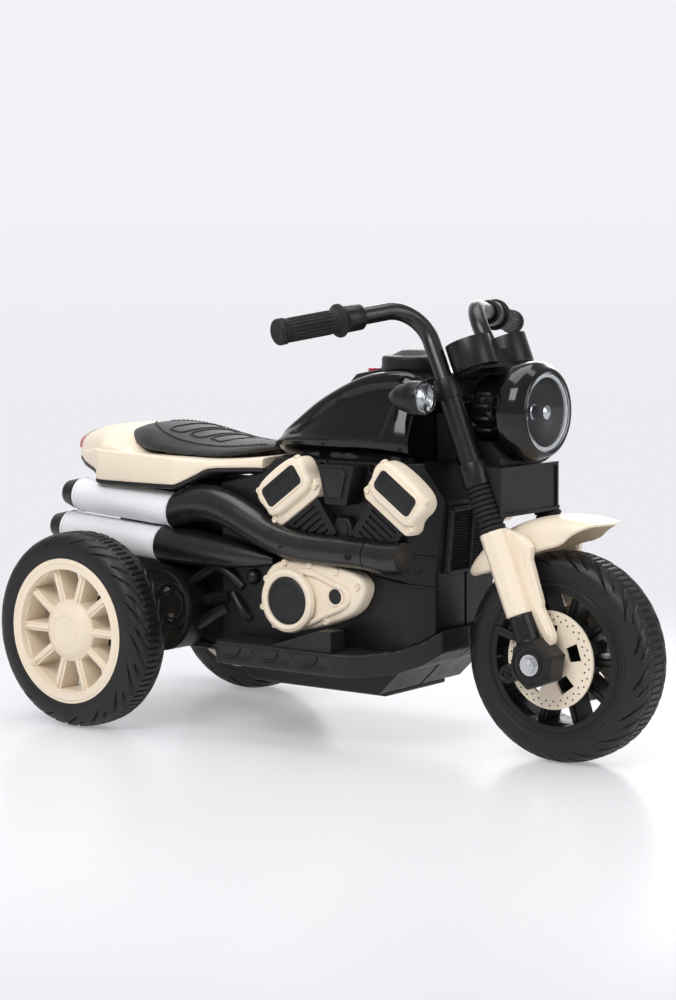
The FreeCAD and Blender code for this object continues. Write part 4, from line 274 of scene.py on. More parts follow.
class Sketch:
    """Points and faces that grow ring by ring, for one mesh of many forms."""

    def __init__(self):
        self.vertices = []
        self.faces = []

    def grid(self, rings, closed_ring=True, closed_run=False):
        """Quads between rings of equal counts, with flat ends where closed rings make an open run."""
        start = len(self.vertices)
        count = len(rings[0])
        for ring in rings:
            self.vertices.extend(ring)
        runs = len(rings) if closed_run else len(rings) - 1
        steps = count if closed_ring else count - 1
        for i in range(runs):
            here = start + i * count
            there = start + (i + 1) % len(rings) * count
            for k in range(steps):
                nearby = (k + 1) % count
                self.faces.append((here + k, here + nearby, there + nearby, there + k))
        if closed_ring and not closed_run:
            for first in (start, start + (len(rings) - 1) * count):
                self.faces.append(tuple(range(first, first + count)))

    def lathe(self, profile, centre, axis, steps=48, closed=False, wobble=None):
        """A turned form: profile points are distance along the axis and radius."""
        along, side, other = axes_about(axis)
        rings = []
        for k in range(steps):
            angle = TURN * k / steps
            out = side * math.cos(angle) + other * math.sin(angle)
            ring = []
            for i, (distance, radius) in enumerate(profile):
                grown = radius if wobble is None else radius + wobble(i, angle)
                ring.append(centre + along * distance + out * grown)
            rings.append(ring)
        self.grid(rings, closed_ring=closed, closed_run=True)

    def dome(self, profile, radius, centre, axis, steps):
        """A turned form whose profile gives distances and shares of a radius."""
        self.lathe([(distance, radius * share) for distance, share in profile], centre, axis, steps)

    def tube(self, points, radius, sides=BAR_SIDES, level=None):
        """A round bar along points, with one radius or one at each; level is square to a flat run."""
        radii = radius if isinstance(radius, list) else [radius] * len(points)
        turns = [TURN * n / sides for n in range(sides)]
        rings = []
        for k, point in enumerate(points):
            before = points[max(k - 1, 0)]
            after = points[min(k + 1, len(points) - 1)]
            along, side, other = axes_about(after - before)
            if level is not None:
                side, other = level, along.cross(level).normalized()
            rings.append([point + (side * math.cos(t) + other * math.sin(t)) * radii[k] for t in turns])
        self.grid(rings)

    def hoop(self, loop, radius, level):
        """A thin round bar along a closed line that lies flat."""
        self.tube(loop + loop[:2], radius, LINE_SIDES, level)

    def plate(self, outline, depth, edge):
        """A flat form from an outline of points, with a rounded upper edge."""
        middle = sum(outline, Vector()) / len(outline)
        outward = [(point - middle).normalized() for point in outline]
        levels = [(0, 0), (depth.length - edge, 0)]
        for step in range(1, EDGE_STEPS + 1):
            turn = TURN / 4 * step / EDGE_STEPS
            levels.append((depth.length - edge + edge * math.sin(turn), edge * (1 - math.cos(turn))))
        rise = depth.normalized()
        rings = []
        for height, draw_in in levels:
            rings.append([p + rise * height - o * draw_in for p, o in zip(outline, outward)])
        self.grid(rings)

    def object(self, name):
        """An object in the scene, with its faces turned outwards."""
        mesh = bpy.data.meshes.new(name)
        mesh.from_pydata([tuple(vertex) for vertex in self.vertices], [], self.faces)
        mesh.validate()
        shape = bmesh.new()
        shape.from_mesh(mesh)
        bmesh.ops.remove_doubles(shape, verts=shape.verts, dist=WELD)
        bmesh.ops.recalc_face_normals(shape, faces=shape.faces)
        shape.to_mesh(mesh)
        shape.free()
        piece = bpy.data.objects.new(name, mesh)
        bpy.context.scene.collection.objects.link(piece)
        return piece

    def finish(self, name, material, body, nodes=()):
        """The object as a finished piece."""
        finish_piece(self.object(name), material, body, nodes)


def axes_about(axis):
    """A direction and two more square to it."""
    along = Vector(axis).normalized()
    guide = UP if abs(along.z) < STEEP else FORWARD
    side = guide.cross(along).normalized()
    return along, side, along.cross(side)


def metres(lengths):
    """Lengths in metres from a table in millimetres."""
    return [metres(part) for part in lengths] if isinstance(lengths, (list, tuple)) else lengths / 1000


def arc(centre, radius, start, end, steps):
    """Points of an arc in a plane, by angle in quarter turns."""
    angles = [TURN / 4 * (start + (end - start) * k / steps) for k in range(steps + 1)]
    return [(centre[0] + radius * math.cos(a), centre[1] + radius * math.sin(a)) for a in angles]


def smooth(points, steps):
    """A soft curve through points."""
    result = []
    last = len(points) - 1
    for k in range(last):
        a, b, c, d = points[max(k - 1, 0)], points[k], points[k + 1], points[min(k + 2, last)]
        for step in range(steps):
            t = step / steps
            result.append(0.5 * (2 * b + (c - a) * t + (2 * a - 5 * b + 4 * c - d) * t ** 2
                                 + (3 * b - a - 3 * c + d) * t ** 3))
    return result + [points[last]]


def smooth_loop(points, steps):
    """A soft closed curve through points of a side view."""
    return smooth([Vector(point) for point in points + points[:1]], steps)[:-1]


def smooth_stations(stations, steps):
    """Soft curves through the first three columns of stations and through the others, in pairs."""
    first = smooth([Vector(station[:3]) for station in stations], steps)
    others = smooth([Vector(station[3:]) for station in stations], steps)
    return list(zip(first, others))


def at_side(x, y, z, side):
    """A place given from mid wheelbase, on the right or on the left."""
    return MIDDLE + Vector((x, SIDES[side] * y, z))


def side_path(points, side, steps):
    """A soft curve through places on the right or on the left."""
    return smooth([at_side(*point, side) for point in points], steps)


def on_fork(forward, across, up):
    """A place in the fork's leaning frame, from the front axle."""
    return FRONT_AXLE + LEG_FORWARD * forward + ACROSS * across + LEG_UP * up


# Stage, light and camera

FLOOR = (0.86, 0.86, 0.88)
FLOOR_CLOUD_SCALE = 1.2
FLOOR_CHANGE = 0.004
FLOOR_ROUGHNESS = (0.24, 0.3)
FLOOR_SHINE = 0.3
BACKDROP_LOW = (0.845, 0.84, 0.875)
BACKDROP_HIGH = (0.9, 0.895, 0.935)
STAGE_FADE = (0.55, 1.25)
STAGE_GLOW_share = 0.38


def stage_material():
    """A pale floor near the bike that fades, to the eye alone, into an even pale backdrop."""
    material, tree, main = shader("pale_floor")
    cloud = add_noise(tree, FLOOR_CLOUD_SCALE)
    set_inputs(tree, main, {
        "Base Color": tint(tree, cloud, FLOOR, FLOOR_CHANGE),
        "Roughness": spread(tree, cloud, *FLOOR_ROUGHNESS),
        "Specular IOR Level": FLOOR_SHINE,
    })
    place = add_node(tree, "NewGeometry", {}).outputs["Position"]
    height = add_node(tree, "SeparateXYZ", {"Vector": place}).outputs["Z"]
    shade = add_node(tree, "ValToRGB", {"Fac": height})
    for stop, colour in zip(shade.color_ramp.elements, (BACKDROP_LOW, BACKDROP_HIGH)):
        stop.color = (*colour, 1)
    glow = add_node(tree, "Emission", {"Color": shade.outputs["Color"]}).outputs["Emission"]
    reach = add_node(tree, "VectorMath", {0: place}, operation="LENGTH").outputs["Value"]
    ends = {"From Min": STAGE_FADE[0], "From Max": STAGE_FADE[1], "To Min": STAGE_GLOW_share}
    fade = add_node(tree, "MapRange", {"Value": reach, **ends}, interpolation_type="SMOOTHSTEP")
    rays = add_node(tree, "LightPath", {}).outputs
    seen = rays["Is Camera Ray"]
    for kind in ("Is Glossy Ray", "Is Transmission Ray"):
        seen = add_node(tree, "Math", {0: seen, 1: rays[kind]}, operation="MAXIMUM").outputs["Value"]
    amount = add_node(tree, "Math", {0: seen, 1: fade.outputs["Result"]}, operation="MULTIPLY")
    sides = {1: main.outputs["BSDF"], 2: glow}
    mix = add_node(tree, "MixShader", {"Fac": amount.outputs["Value"], **sides}).outputs["Shader"]
    set_inputs(tree, tree.nodes["Material Output"], {"Surface": mix})
    return material


def make_stage():
    """A pale floor that curves up into a backdrop behind the bike."""
    back = Vector((VIEW_BACK.x, VIEW_BACK.y, 0)).normalized()
    right = UP.cross(back)
    profile = [(STAGE_NEAR, 0)] + arc((-STAGE_FAR, STAGE_CURVE), STAGE_CURVE, 3, 2, 24)
    profile.append((-STAGE_FAR - STAGE_CURVE, STAGE_TALL))
    sheet = Sketch()
    rows = [[back * x + UP * z + right * w for x, z in profile] for w in (-STAGE_HALF, STAGE_HALF)]
    sheet.grid(rows, closed_ring=False)
    floor = sheet.object("studio_floor")
    floor.data.materials.append(stage_material())
    floor.data.shade_smooth()


STAGE_NEAR = 9.0
STAGE_FAR = 7.0
STAGE_CURVE = 1.2
STAGE_TALL = 7.0
STAGE_HALF = 9.0


def add_softbox(name, place, target, width, height, power):
    """A large soft lamp."""
    lamp = bpy.data.lights.new(name, "AREA")
    lamp.shape = "RECTANGLE"
    lamp.size = width
    lamp.size_y = height
    lamp.energy = power
    holder = bpy.data.objects.new(name, lamp)
    holder.location = place
    holder.rotation_euler = (Vector(target) - Vector(place)).to_track_quat("-Z", "Y").to_euler()
    bpy.context.scene.collection.objects.link(holder)


WORLD_STRENGTH = 0.4
SOFTBOXES = [
    # name, place, target, width, height and power
    ("key_light", (0.4, -2.6, 2.6), (0, 0, 0.25), 2.2, 1.6, 73),
    ("top_light", (-0.3, 0.2, 3.0), (0, 0, 0), 2.6, 2.0, 46),
    ("front_light", (3.0, 0.2, 1.4), (0.1, 0, 0.3), 1.4, 1.8, 24),
    ("far_light", (-1.4, 2.9, 1.6), (0, 0, 0.25), 1.8, 1.6, 30),
]


def make_light():
    """A pale world, brighter to the eye alone, and four softboxes."""
    world = bpy.data.worlds.new("studio")
    world.use_nodes = True
    tree = world.node_tree
    sky = tree.nodes["Background"]
    set_inputs(tree, sky, {"Color": (*PALE_STAGE, 1), "Strength": WORLD_STRENGTH})
    seen = add_node(tree, "Background", {"Color": (*BACKDROP_HIGH, 1)})
    eye = add_node(tree, "LightPath", {}).outputs["Is Camera Ray"]
    skies = {1: sky.outputs["Background"], 2: seen.outputs["Background"]}
    mix = add_node(tree, "MixShader", {"Fac": eye, **skies})
    set_inputs(tree, tree.nodes["World Output"], {"Surface": mix.outputs["Shader"]})
    bpy.context.scene.world = world
    for softbox in SOFTBOXES:
        add_softbox(*softbox)


VIEW_PLACE = Vector((1.7314, -2.2665, 0.5633))
VIEW_TARGET = Vector((-0.0177, 0, 0.2614))
VIEW_BACK = (VIEW_PLACE - VIEW_TARGET).normalized()
VIEW_ROLL = math.radians(-0.42)
VIEW_LENS = 85.85
VIEW_SHIFT = 0.015


def make_camera():
    """The camera at the photograph's angle."""
    right = UP.cross(VIEW_BACK).normalized()
    above = VIEW_BACK.cross(right)
    turned_right = right * math.cos(VIEW_ROLL) + above * math.sin(VIEW_ROLL)
    turned_above = above * math.cos(VIEW_ROLL) - right * math.sin(VIEW_ROLL)
    lens = bpy.data.cameras.new("camera")
    lens.lens = VIEW_LENS
    lens.shift_y = VIEW_SHIFT
    camera = bpy.data.objects.new("camera", lens)
    turn = Matrix((turned_right, turned_above, VIEW_BACK)).transposed().to_4x4()
    camera.matrix_world = Matrix.Translation(VIEW_PLACE) @ turn
    bpy.context.scene.collection.objects.link(camera)
    bpy.context.scene.camera = camera
    bpy.context.scene.view_settings.view_transform = "Standard"


# The CAD pieces that stay, with finishes and rounded edges

FINISH = {
    "footboard_right": "black_soft", "footboard_left": "black_soft", "accelerator_pedal": "black_soft",
    "engine_trims": "black_soft", "dash_panel": "black_soft", "headlight_housing": "black_gloss",
    "exhaust_headers": "black_satin", "handlebars": "black_satin",
}
EDGE_WIDTHS = {
    0.003: ["body_shell_right", "body_shell_left", "gearbox_housing_right", "axle_housing_left", "battery"],
    0.0025: ["air_boxes"],
    0.002: ["lower_clamp", "upper_clamp", "gauge_cluster", "steering_head", "belly_pan", "headlight_bezel"],
    0.0015: ["accelerator_pedal", "muffler_caps", "hub_cap_right", "hub_cap_left", "turn_signals"],
    0.0012: ["mufflers", "control_barrels"],
    0.001: ["cylinder_blocks", "rear_rim_right", "rear_rim_left", "front_rim", "engine_trims",
            "power_button"],
    0.0007: ["brake_discs"],
    0.0006: ["front_axle", "rear_axle"],
}
EDGE_ROUND = {node: width for width, nodes in EDGE_WIDTHS.items() for node in nodes}
EDGE_SEGMENTS = 3


def dress_frame():
    """Finishes and rounded edges on the CAD nodes."""
    for name, node in NODES.items():
        node.data.materials.clear()
        node.data.materials.append(MATERIALS[FINISH.get(name, SLOT_OF[name])])
        if name in EDGE_ROUND:
            node.modifiers.new("weld", "WELD").merge_threshold = WELD
            rounding = node.modifiers.new("rounded_edges", "BEVEL")
            rounding.width = EDGE_ROUND[name]
            rounding.segments = EDGE_SEGMENTS
            rounding.limit_method = "ANGLE"
            rounding.angle_limit = SMOOTH_ANGLE
            rounding.harden_normals = True


# Tyres with their tread

TYRE_RADIUS = 0.120
TYRE_HALF = 0.0295
TYRE_SECTION = metres([
    (25, 84.5), (27.8, 86.8), (29.1, 91.5), (29.4, 97.5), (29.1, 103.5), (27.6, 109.5), (24, 115),
    (18.5, 118.2), (12, 119.6), (6, 120),
])
TYRE_STEPS = 720
SECTION_STEPS = 5
RIB_COUNT = 90
RIB_HALF_BAND = 0.0088
RIB_DEPTH = 0.0017
RIB_GAP_share = 0.4
RIB_SOFT_share = 0.16
LINE_PLACE = 0.0102
LINE_HALF = 0.0009
LINE_DEPTH = 0.0011
SLASH_COUNT = 34
SLASH_DEPTH = 0.0022
SLASH_LEAN = 0.34
SLASH_HALF = 0.0036
SLASH_REACH_shares = (1.0, 0.62)
SLASH_START_share = 0.2
SLASH_GAIN = 8
SLASH_INNER_RADIUS = 0.0985
BEAD_LINE_RADIUS = 0.0925
SOFT_EDGE = 0.0008


def soft_step(value, edge, width):
    """Nought before an edge and one after it, with a soft change."""
    t = min(1.0, max(0.0, (value - edge) / width + 0.5))
    return t * t * (3 - 2 * t)


def tread_depth(across, radius, angle, lean):
    """How far the tyre's skin is pressed in at one place."""
    gap = abs(across)
    depth = LINE_DEPTH * (1 - soft_step(abs(gap - LINE_PLACE), LINE_HALF, SOFT_EDGE))
    depth = max(depth, LINE_DEPTH / 2 * (1 - soft_step(abs(radius - BEAD_LINE_RADIUS), LINE_HALF, SOFT_EDGE)))
    if gap < RIB_HALF_BAND:
        turn = angle * RIB_COUNT / TURN % 1.0
        depth = max(depth, RIB_DEPTH * (1 - soft_step(abs(turn - 0.5), RIB_GAP_share / 2, RIB_SOFT_share)))
    if gap > LINE_PLACE + LINE_HALF:
        way = (TYRE_RADIUS - radius) / (TYRE_RADIUS - SLASH_INNER_RADIUS) + (gap - LINE_PLACE) / TYRE_HALF / 2
        turn = angle * SLASH_COUNT / TURN + lean * way * SLASH_LEAN * SLASH_COUNT / TURN
        number = math.floor(turn)
        reach = SLASH_REACH_shares[number % 2]
        offset = abs(turn - number - 0.5) * TURN * TYRE_RADIUS / SLASH_COUNT
        half = SLASH_HALF * max(0.0, 1 - way / reach) ** 0.5
        if half > 0:
            start = min(1.0, way * SLASH_GAIN + SLASH_START_share)
            depth = max(depth, SLASH_DEPTH * (1 - soft_step(offset, half, SOFT_EDGE * 2)) * start)
    return depth


def tyre_section():
    """The whole tyre's section and its outward directions, from bead to bead."""
    half = smooth([Vector((a, r)) for a, r in TYRE_SECTION] + [Vector((0, TYRE_RADIUS))], SECTION_STEPS)
    points = half[:-1] + [Vector((-p.x, p.y)) for p in reversed(half)]
    normals = []
    for k in range(len(points)):
        run = points[min(k + 1, len(points) - 1)] - points[max(k - 1, 0)]
        normals.append(Vector((-run.y, run.x)).normalized() * -1)
    return points, normals


def make_tyre(name, centre, body, lean):
    """One tyre, its tread pressed into the skin."""
    points, normals = tyre_section()
    sign = 1 if normals[len(normals) // 2].y > 0 else -1
    rings = []
    for k in range(TYRE_STEPS):
        angle = TURN * k / TYRE_STEPS
        out = wheel_way(angle)
        ring = []
        for point, normal in zip(points, normals):
            place = point - normal * sign * tread_depth(point.x, point.y, angle, lean)
            ring.append(centre + ACROSS * place.x + out * place.y)
        rings.append(ring)
    form = Sketch()
    form.grid(rings, closed_run=True)
    form.finish(f"{name}_tread", "tyre_black", body, [name])


def make_tyres():
    """Three tyres; the rear ones lean their tread away from each other."""
    make_tyre("front_tyre", FRONT_AXLE, "front_wheel", 1)
    for side, sign in SIDES.items():
        make_tyre(f"rear_tyre_{side}", REAR_AXLES[side], f"rear_wheel_{side}", sign)


# Spoke ribs and hub lines

SPOKES = 10
REAR_WEB_FACE = 0.020
FRONT_WEB_FACE = 0.015
SPOKE_RUN = (0.0365, 0.0745)
SPOKE_RIB_HALF = 0.0026
SPOKE_RIB_RISE = 0.0032
HUB_FACE = 0.029
HUB_RING = (0.0355, 0.0022)
HUB_FLAT_RING = (0.019, 0.0006)
HUB_LINE_ENDS = metres([
    # distance from the axle, and drop from the hub's face
    (21.5, 0.2), (32.5, 7.5),
])
HUB_LINE_SIZE = (0.0011, 0.0009)
HUB_LINE_TURN = 0.11
RIM_LIP_FACE = 0.0285
RIM_LIP_RING = (0.0845, 0.0015)
BAR_SECTION_shares = [
    # across and up
    (1.25, -0.4), (1, 0), (0.75, 0.75), (0.3, 1), (-0.3, 1), (-0.75, 0.75), (-1, 0), (-1.25, -0.4),
]
BAR_RUN_shares = [
    # along, and size of the section
    (0.0, 0.8), (0.05, 1.0), (0.95, 1.0), (1.0, 0.8),
]


def add_bar(form, start, end, rise, half, height):
    """A low rounded bar lying on a face."""
    side = rise.cross(end - start).normalized() * half
    section = [side * across + rise * height * up for across, up in BAR_SECTION_shares]
    form.grid([[start.lerp(end, run) + point * size for point in section] for run, size in BAR_RUN_shares])


def add_ring(form, centre, axis, radius, thick, steps=64):
    """A thin round ring."""
    turns = [TURN * k / LINE_SIDES for k in range(LINE_SIDES)]
    profile = [(thick * math.sin(t), radius + thick * math.cos(t)) for t in turns]
    form.lathe(profile, centre, axis, steps, closed=True)


def wheel_way(turn):
    """A direction in the wheel's plane."""
    return FORWARD * math.cos(turn) + UP * math.sin(turn)


def make_spoke_ribs(name, centre, outward, face, material, body, hub=True):
    """Ribs along the spokes, with the hub dome's rings and paired lines on a rear wheel."""
    form = Sketch()
    base = centre + outward * face
    for k in range(SPOKES):
        turn = TURN * k / SPOKES
        ends = [base + wheel_way(turn) * distance for distance in SPOKE_RUN]
        add_bar(form, *ends, outward, SPOKE_RIB_HALF, SPOKE_RIB_RISE)
        if hub:
            for shift in (-HUB_LINE_TURN, HUB_LINE_TURN):
                way = wheel_way(turn + shift)
                ends = [centre + outward * (HUB_FACE - drop) + way * reach for reach, drop in HUB_LINE_ENDS]
                add_bar(form, *ends, outward, *HUB_LINE_SIZE)
    if hub:
        add_ring(form, base, outward, *HUB_RING)
        add_ring(form, centre + outward * HUB_FACE, outward, *HUB_FLAT_RING)
    add_ring(form, centre + outward * RIM_LIP_FACE, outward, *RIM_LIP_RING, FINE_STEPS)
    form.finish(name, material, body)


def make_wheel_details():
    """Ribs on all three wheels."""
    for side, sign in SIDES.items():
        make_spoke_ribs(f"rear_spoke_ribs_{side}", REAR_AXLES[side], ACROSS * sign, REAR_WEB_FACE, "cream",
                        f"rear_wheel_{side}")
        make_spoke_ribs(f"front_spoke_ribs_{side}", FRONT_AXLE, ACROSS * sign, FRONT_WEB_FACE, "black_matte",
                        "front_wheel", hub=False)


# Fork gaiters

LEG_ACROSS = 0.060
LEG_SETBACK = 0.003
GAITER_FOOT = 0.1555
GAITER_TOP = 0.2085
GAITER_RIBS = 9
GAITER_VALLEY = 0.0131
GAITER_RISE = 0.0025
GAITER_POWER = 0.75
GAITER_TUCK = 0.0006
RIB_SAMPLES = 10


def make_gaiters():
    """A ribbed rubber sleeve on each leg."""
    form = Sketch()
    count = GAITER_RIBS * RIB_SAMPLES
    profile = [(GAITER_FOOT, GAITER_VALLEY - GAITER_TUCK)]
    for k in range(count + 1):
        height = GAITER_FOOT + (GAITER_TOP - GAITER_FOOT) * k / count
        swell = abs(math.sin(math.pi * k / RIB_SAMPLES)) ** GAITER_POWER
        profile.append((height, GAITER_VALLEY + GAITER_RISE * swell))
    profile.append((GAITER_TOP, GAITER_VALLEY - GAITER_TUCK))
    for sign in SIDES.values():
        form.lathe(profile, on_fork(-LEG_SETBACK, sign * LEG_ACROSS, 0), LEG_UP, 40, closed=True)
    form.finish("fork_gaiter_ribs", "rubber_black", "steering", ["fork_gaiters"])


# Tank cover, from its rear tip to its front

TANK_FOOT = 0.3362
TANK_FOOT_share = 0.84
TANK_LIP = [
    # share of the widest half, and height from the lip
    (0.86, -0.0055), (0.97, -0.0012), (1.0, 0.0020),
]
TANK_FLANK_shares = (0.6, 0.55)
TANK_CROWN_shares = (0.55, 0.3)
TANK_STATIONS = metres([
    # along, widest half, ridge half, then the heights of lip, widest line, ridge and crown
    (-80, 52, 40, 348, 352, 356, 357), (-63, 64, 50, 349, 356, 368, 371), (-41, 73, 57, 351, 359, 381, 386),
    (-6, 81, 61.5, 352, 363, 403, 408), (34, 83.5, 63.5, 352, 366, 422, 428),
    (67, 83.5, 62.7, 352, 367, 432.5, 438), (106, 82, 61, 351, 367, 437, 440.5),
    (126, 78, 57, 349, 365, 432, 436), (132.2, 74, 52, 347, 363, 424, 428),
])
TANK_STEPS = 9
TANK_SECTION_STEPS = 8
KNEE_RUN = (-0.060, 0.098)
KNEE_FOOT = 0.3620
KNEE_DROP = 0.012
KNEE_DEPTH = 0.0035
KNEE_EDGE = 0.005
KNEE_TAPER_START = 0.03
KNEE_TAPER_RUN = 0.11
KNEE_LEAN = 0.25


def tank_half(wide, ridge, lip_z, wide_z, ridge_z, crown_z):
    """Half of one tank section, from the foot over lip and ridge to the crown, as across and height."""
    in_share, up_share = TANK_FLANK_shares
    near_share, drop_share = TANK_CROWN_shares
    lip = [(wide * share, lip_z + rise) for share, rise in TANK_LIP]
    flank = (wide + (ridge - wide) * in_share, wide_z + (ridge_z - wide_z) * up_share)
    crown = (ridge * near_share, crown_z - (crown_z - ridge_z) * drop_share)
    upper = [(wide, wide_z), flank, (ridge, ridge_z), crown, (0, crown_z)]
    return [Vector(point) for point in [(wide * TANK_FOOT_share, TANK_FOOT), *lip, *upper]]


def knee_press(x, z, ridge_z):
    """How far the knee panel is pressed in at a place on the tank's side."""
    rear, front = KNEE_RUN
    rise = soft_step(x, rear + KNEE_TAPER_START, KNEE_TAPER_RUN)
    top = KNEE_FOOT + (ridge_z - KNEE_DROP - KNEE_FOOT) * rise
    press = KNEE_DEPTH
    for value, low, high in ((x, rear, front + (z - KNEE_FOOT) * KNEE_LEAN), (z, KNEE_FOOT, top)):
        press *= soft_step(value, low, KNEE_EDGE) * (1 - soft_step(value, high, KNEE_EDGE))
    return press


def make_tank():
    """The gloss tank cover with a pressed knee panel on each side."""
    rings = []
    for (x, wide, ridge), heights in smooth_stations(TANK_STATIONS, TANK_STEPS):
        section = smooth(tank_half(wide, ridge, *heights), TANK_SECTION_STEPS)
        half = [(point.x - knee_press(x, point.y, heights.z), point.y) for point in section]
        whole = [(-a, z) for a, z in half] + half[-2::-1]
        rings.append([MIDDLE + Vector((x, a, z)) for a, z in whole])
    form = Sketch()
    form.grid(rings)
    form.finish("fuel_tank_skin", "black_gloss", "chassis", ["fuel_tank_cover"])


# Tail cover, its edging and its lens

TAIL_STATIONS = metres([
    # along, half width, foot, ledge, top
    (-73.5, 86, 321.5, 333.5, 335), (-90, 88.5, 321.2, 332.5, 333.5), (-120, 94, 320, 330, 330.5),
    (-148, 100, 318, 327.5, 329.5), (-165, 104.5, 310, 328, 329.5), (-190, 111, 298.5, 330, 330),
    (-205, 112, 297.2, 331.2, 330.2), (-260, 112, 297.2, 333.8, 330.4), (-280, 112, 297.4, 334.6, 336),
    (-303, 112, 297.6, 335.6, 351), (-320, 110.5, 298.5, 336.3, 359), (-328, 101, 302, 336.2, 361.2),
    (-338, 92, 305.5, 335.8, 362.8), (-351, 83, 308.5, 334.5, 363), (-384, 63, 313.5, 330, 358),
    (-410, 42, 318, 329, 351), (-422.9, 31, 319.5, 329, 346),
])
TAIL_STEPS = 6
TAIL_LIP = 0.004
TAIL_LIP_shares = [
    # in from the side, and up from the foot
    (2, 1 / 2), (1, 0), (1 / 4, 1 / 3), (0, 1),
]
LEDGE_DRAFT = 0.0014
BRIM_share = 0.92
HUMP_STEPS = 10
HUMP_POWER = 0.72
LENS_FRONT = -0.3930
LENS_PROUD = 0.0006
LENS_END = [
    # share of the last arch, and how far behind it
    (0.97, 0.0030), (0.86, 0.0065), (0.64, 0.0098), (0.34, 0.0122), (0.08, 0.0130),
]
EDGING_DROP = 0.0018
EDGING_RADIUS = 0.0032
EDGING_RUN = slice(-4)


def hump_arch(half, ledge, top, start=0.0):
    """Half of the arch over one tail section, from a start turn up to the middle."""
    arch = []
    for k in range(HUMP_STEPS):
        turn = start + (TURN / 4 - start) * k / HUMP_STEPS
        rise = (top - ledge) * math.sin(turn) ** HUMP_POWER
        arch.append((half * math.cos(turn) ** HUMP_POWER, ledge + rise))
    return arch + [(0, top)]


def tail_half(half, foot, ledge, top):
    """Half of one tail section, from the foot over the ledge to the hump's middle."""
    brim = half * BRIM_share
    side = [(half - TAIL_LIP * inward, foot + TAIL_LIP * up) for inward, up in TAIL_LIP_shares]
    side += [(half - LEDGE_DRAFT / 2, ledge - TAIL_LIP), (half - LEDGE_DRAFT, ledge - TAIL_LIP / 3)]
    return [(0, foot + TAIL_LIP), *side, ((half + brim) / 2, ledge), *hump_arch(brim, ledge, top)]


def whole_ring(along, half):
    """A whole section from its half, at a place along the bike."""
    whole = half + [(-a, z) for a, z in reversed(half[:-1]) if a]
    return [MIDDLE + Vector((along, a, z)) for a, z in whole]


def make_tail():
    """The cream tail cover in one skin, with a ledge along each side, its edging and its lens."""
    stations = smooth_stations(TAIL_STATIONS, TAIL_STEPS)
    form = Sketch()
    form.grid([whole_ring(x, tail_half(half, foot, *tops)) for (x, half, foot), tops in stations])
    form.finish("tail_cover_skin", "cream", "chassis", ["tail_cover"])
    edging = Sketch()
    for side in SIDES:
        line = [(x, half - TAIL_LIP, foot - EDGING_DROP) for (x, half, foot), _ in stations[EDGING_RUN]]
        edging.tube([at_side(*point, side) for point in line], EDGING_RADIUS)
    edging.finish("tail_cover_edging", "black_soft", "chassis", ["tail_edging"])
    make_tail_lens(stations)


def make_tail_lens(stations):
    """The red lens wrapped round the tail's end."""
    rings = []
    last = stations[-1][0].x
    for (x, width, _), (ledge, top) in stations:
        share = (x - LENS_FRONT) / (last - LENS_FRONT)
        if share > 0:
            half = width * BRIM_share + LENS_PROUD
            rings.append(whole_ring(x, hump_arch(half, ledge, top + LENS_PROUD, (1 - share) * TURN / 4)))
    end = hump_arch(half, ledge, top + LENS_PROUD)
    middle = ledge + (top - ledge) / 3
    for size_share, back in LENS_END:
        arch = [(a * size_share, middle + (z - middle) * size_share) for a, z in end]
        rings.append(whole_ring(last - back, arch))
    lens = Sketch()
    lens.grid(rings)
    lens.finish("tail_light_lens", "red_lens", "chassis", ["tail_light"])


# Seat: a stuffed pad with a stitched line and plain raised oblongs

SEAT_VOXEL = 0.0045
SEAT_CAP = 0.006
SEAT_SHRINK = 0.975
SEAT_PRESSURE = 4.0
SEAT_FRAMES = 20
FLAT_NORMAL = -0.6
RELAX_share = 0.5
SEAT_ROUNDS = 6
SEAT_TAPER_START = -0.250
SEAT_TAPER_RUN = 0.088
SEAT_TAPER_share = 0.26
SEAT_LIFT = 0.012
STITCH_PITCH = 0.0046
STITCH_LENGTH = 0.003
STITCH_RADIUS = 0.0006
STITCH_shares = [
    # along, up, and size
    (-1.0, 0.0, 0.5), (-0.6, 1.6, 1.0), (0.6, 1.6, 1.0), (1.0, 0.0, 0.5),
]
STITCH_INSET = 0.021
STITCH_REAR_share = 1.2
STITCH_ROUND_GAIN = 2.2
STITCH_ROUND_START = 0.04
STITCH_ROUND_POWER = 0.6
STITCH_NARROW_share = 0.42
STITCH_LINE_STEPS = 160
SEAM_share = 1.5
SEAM_LIFT_share = 0.4
SEAT_PANELS = [
    # share of the seat's length from its rear, and half width
    (0.34, 0.044), (0.46, 0.040), (0.58, 0.034),
]
SEAT_PANEL_HALF = 0.0110
SEAT_PANEL_TURNS = 72
SEAT_PANEL_POWER = 0.35
SEAT_LINE = 0.0013


def copy_of(node, name):
    """A new object with a copy of a node's mesh."""
    piece = bpy.data.objects.new(name, NODES[node].data.copy())
    bpy.context.scene.collection.objects.link(piece)
    piece.data.materials.clear()
    return piece


def apply_all(piece):
    """Make a piece's modifiers part of its mesh."""
    graph = bpy.context.evaluated_depsgraph_get()
    mesh = bpy.data.meshes.new_from_object(piece.evaluated_get(graph))
    piece.modifiers.clear()
    piece.data = mesh


def soften(piece, voxel, rounds):
    """Even out a piece's mesh and round its edges."""
    piece.modifiers.new("weld", "WELD").merge_threshold = WELD
    remesh = piece.modifiers.new("voxels", "REMESH")
    remesh.mode = "VOXEL"
    remesh.voxel_size = voxel
    relax = piece.modifiers.new("relax", "SMOOTH")
    relax.factor = RELAX_share
    relax.iterations = rounds
    apply_all(piece)


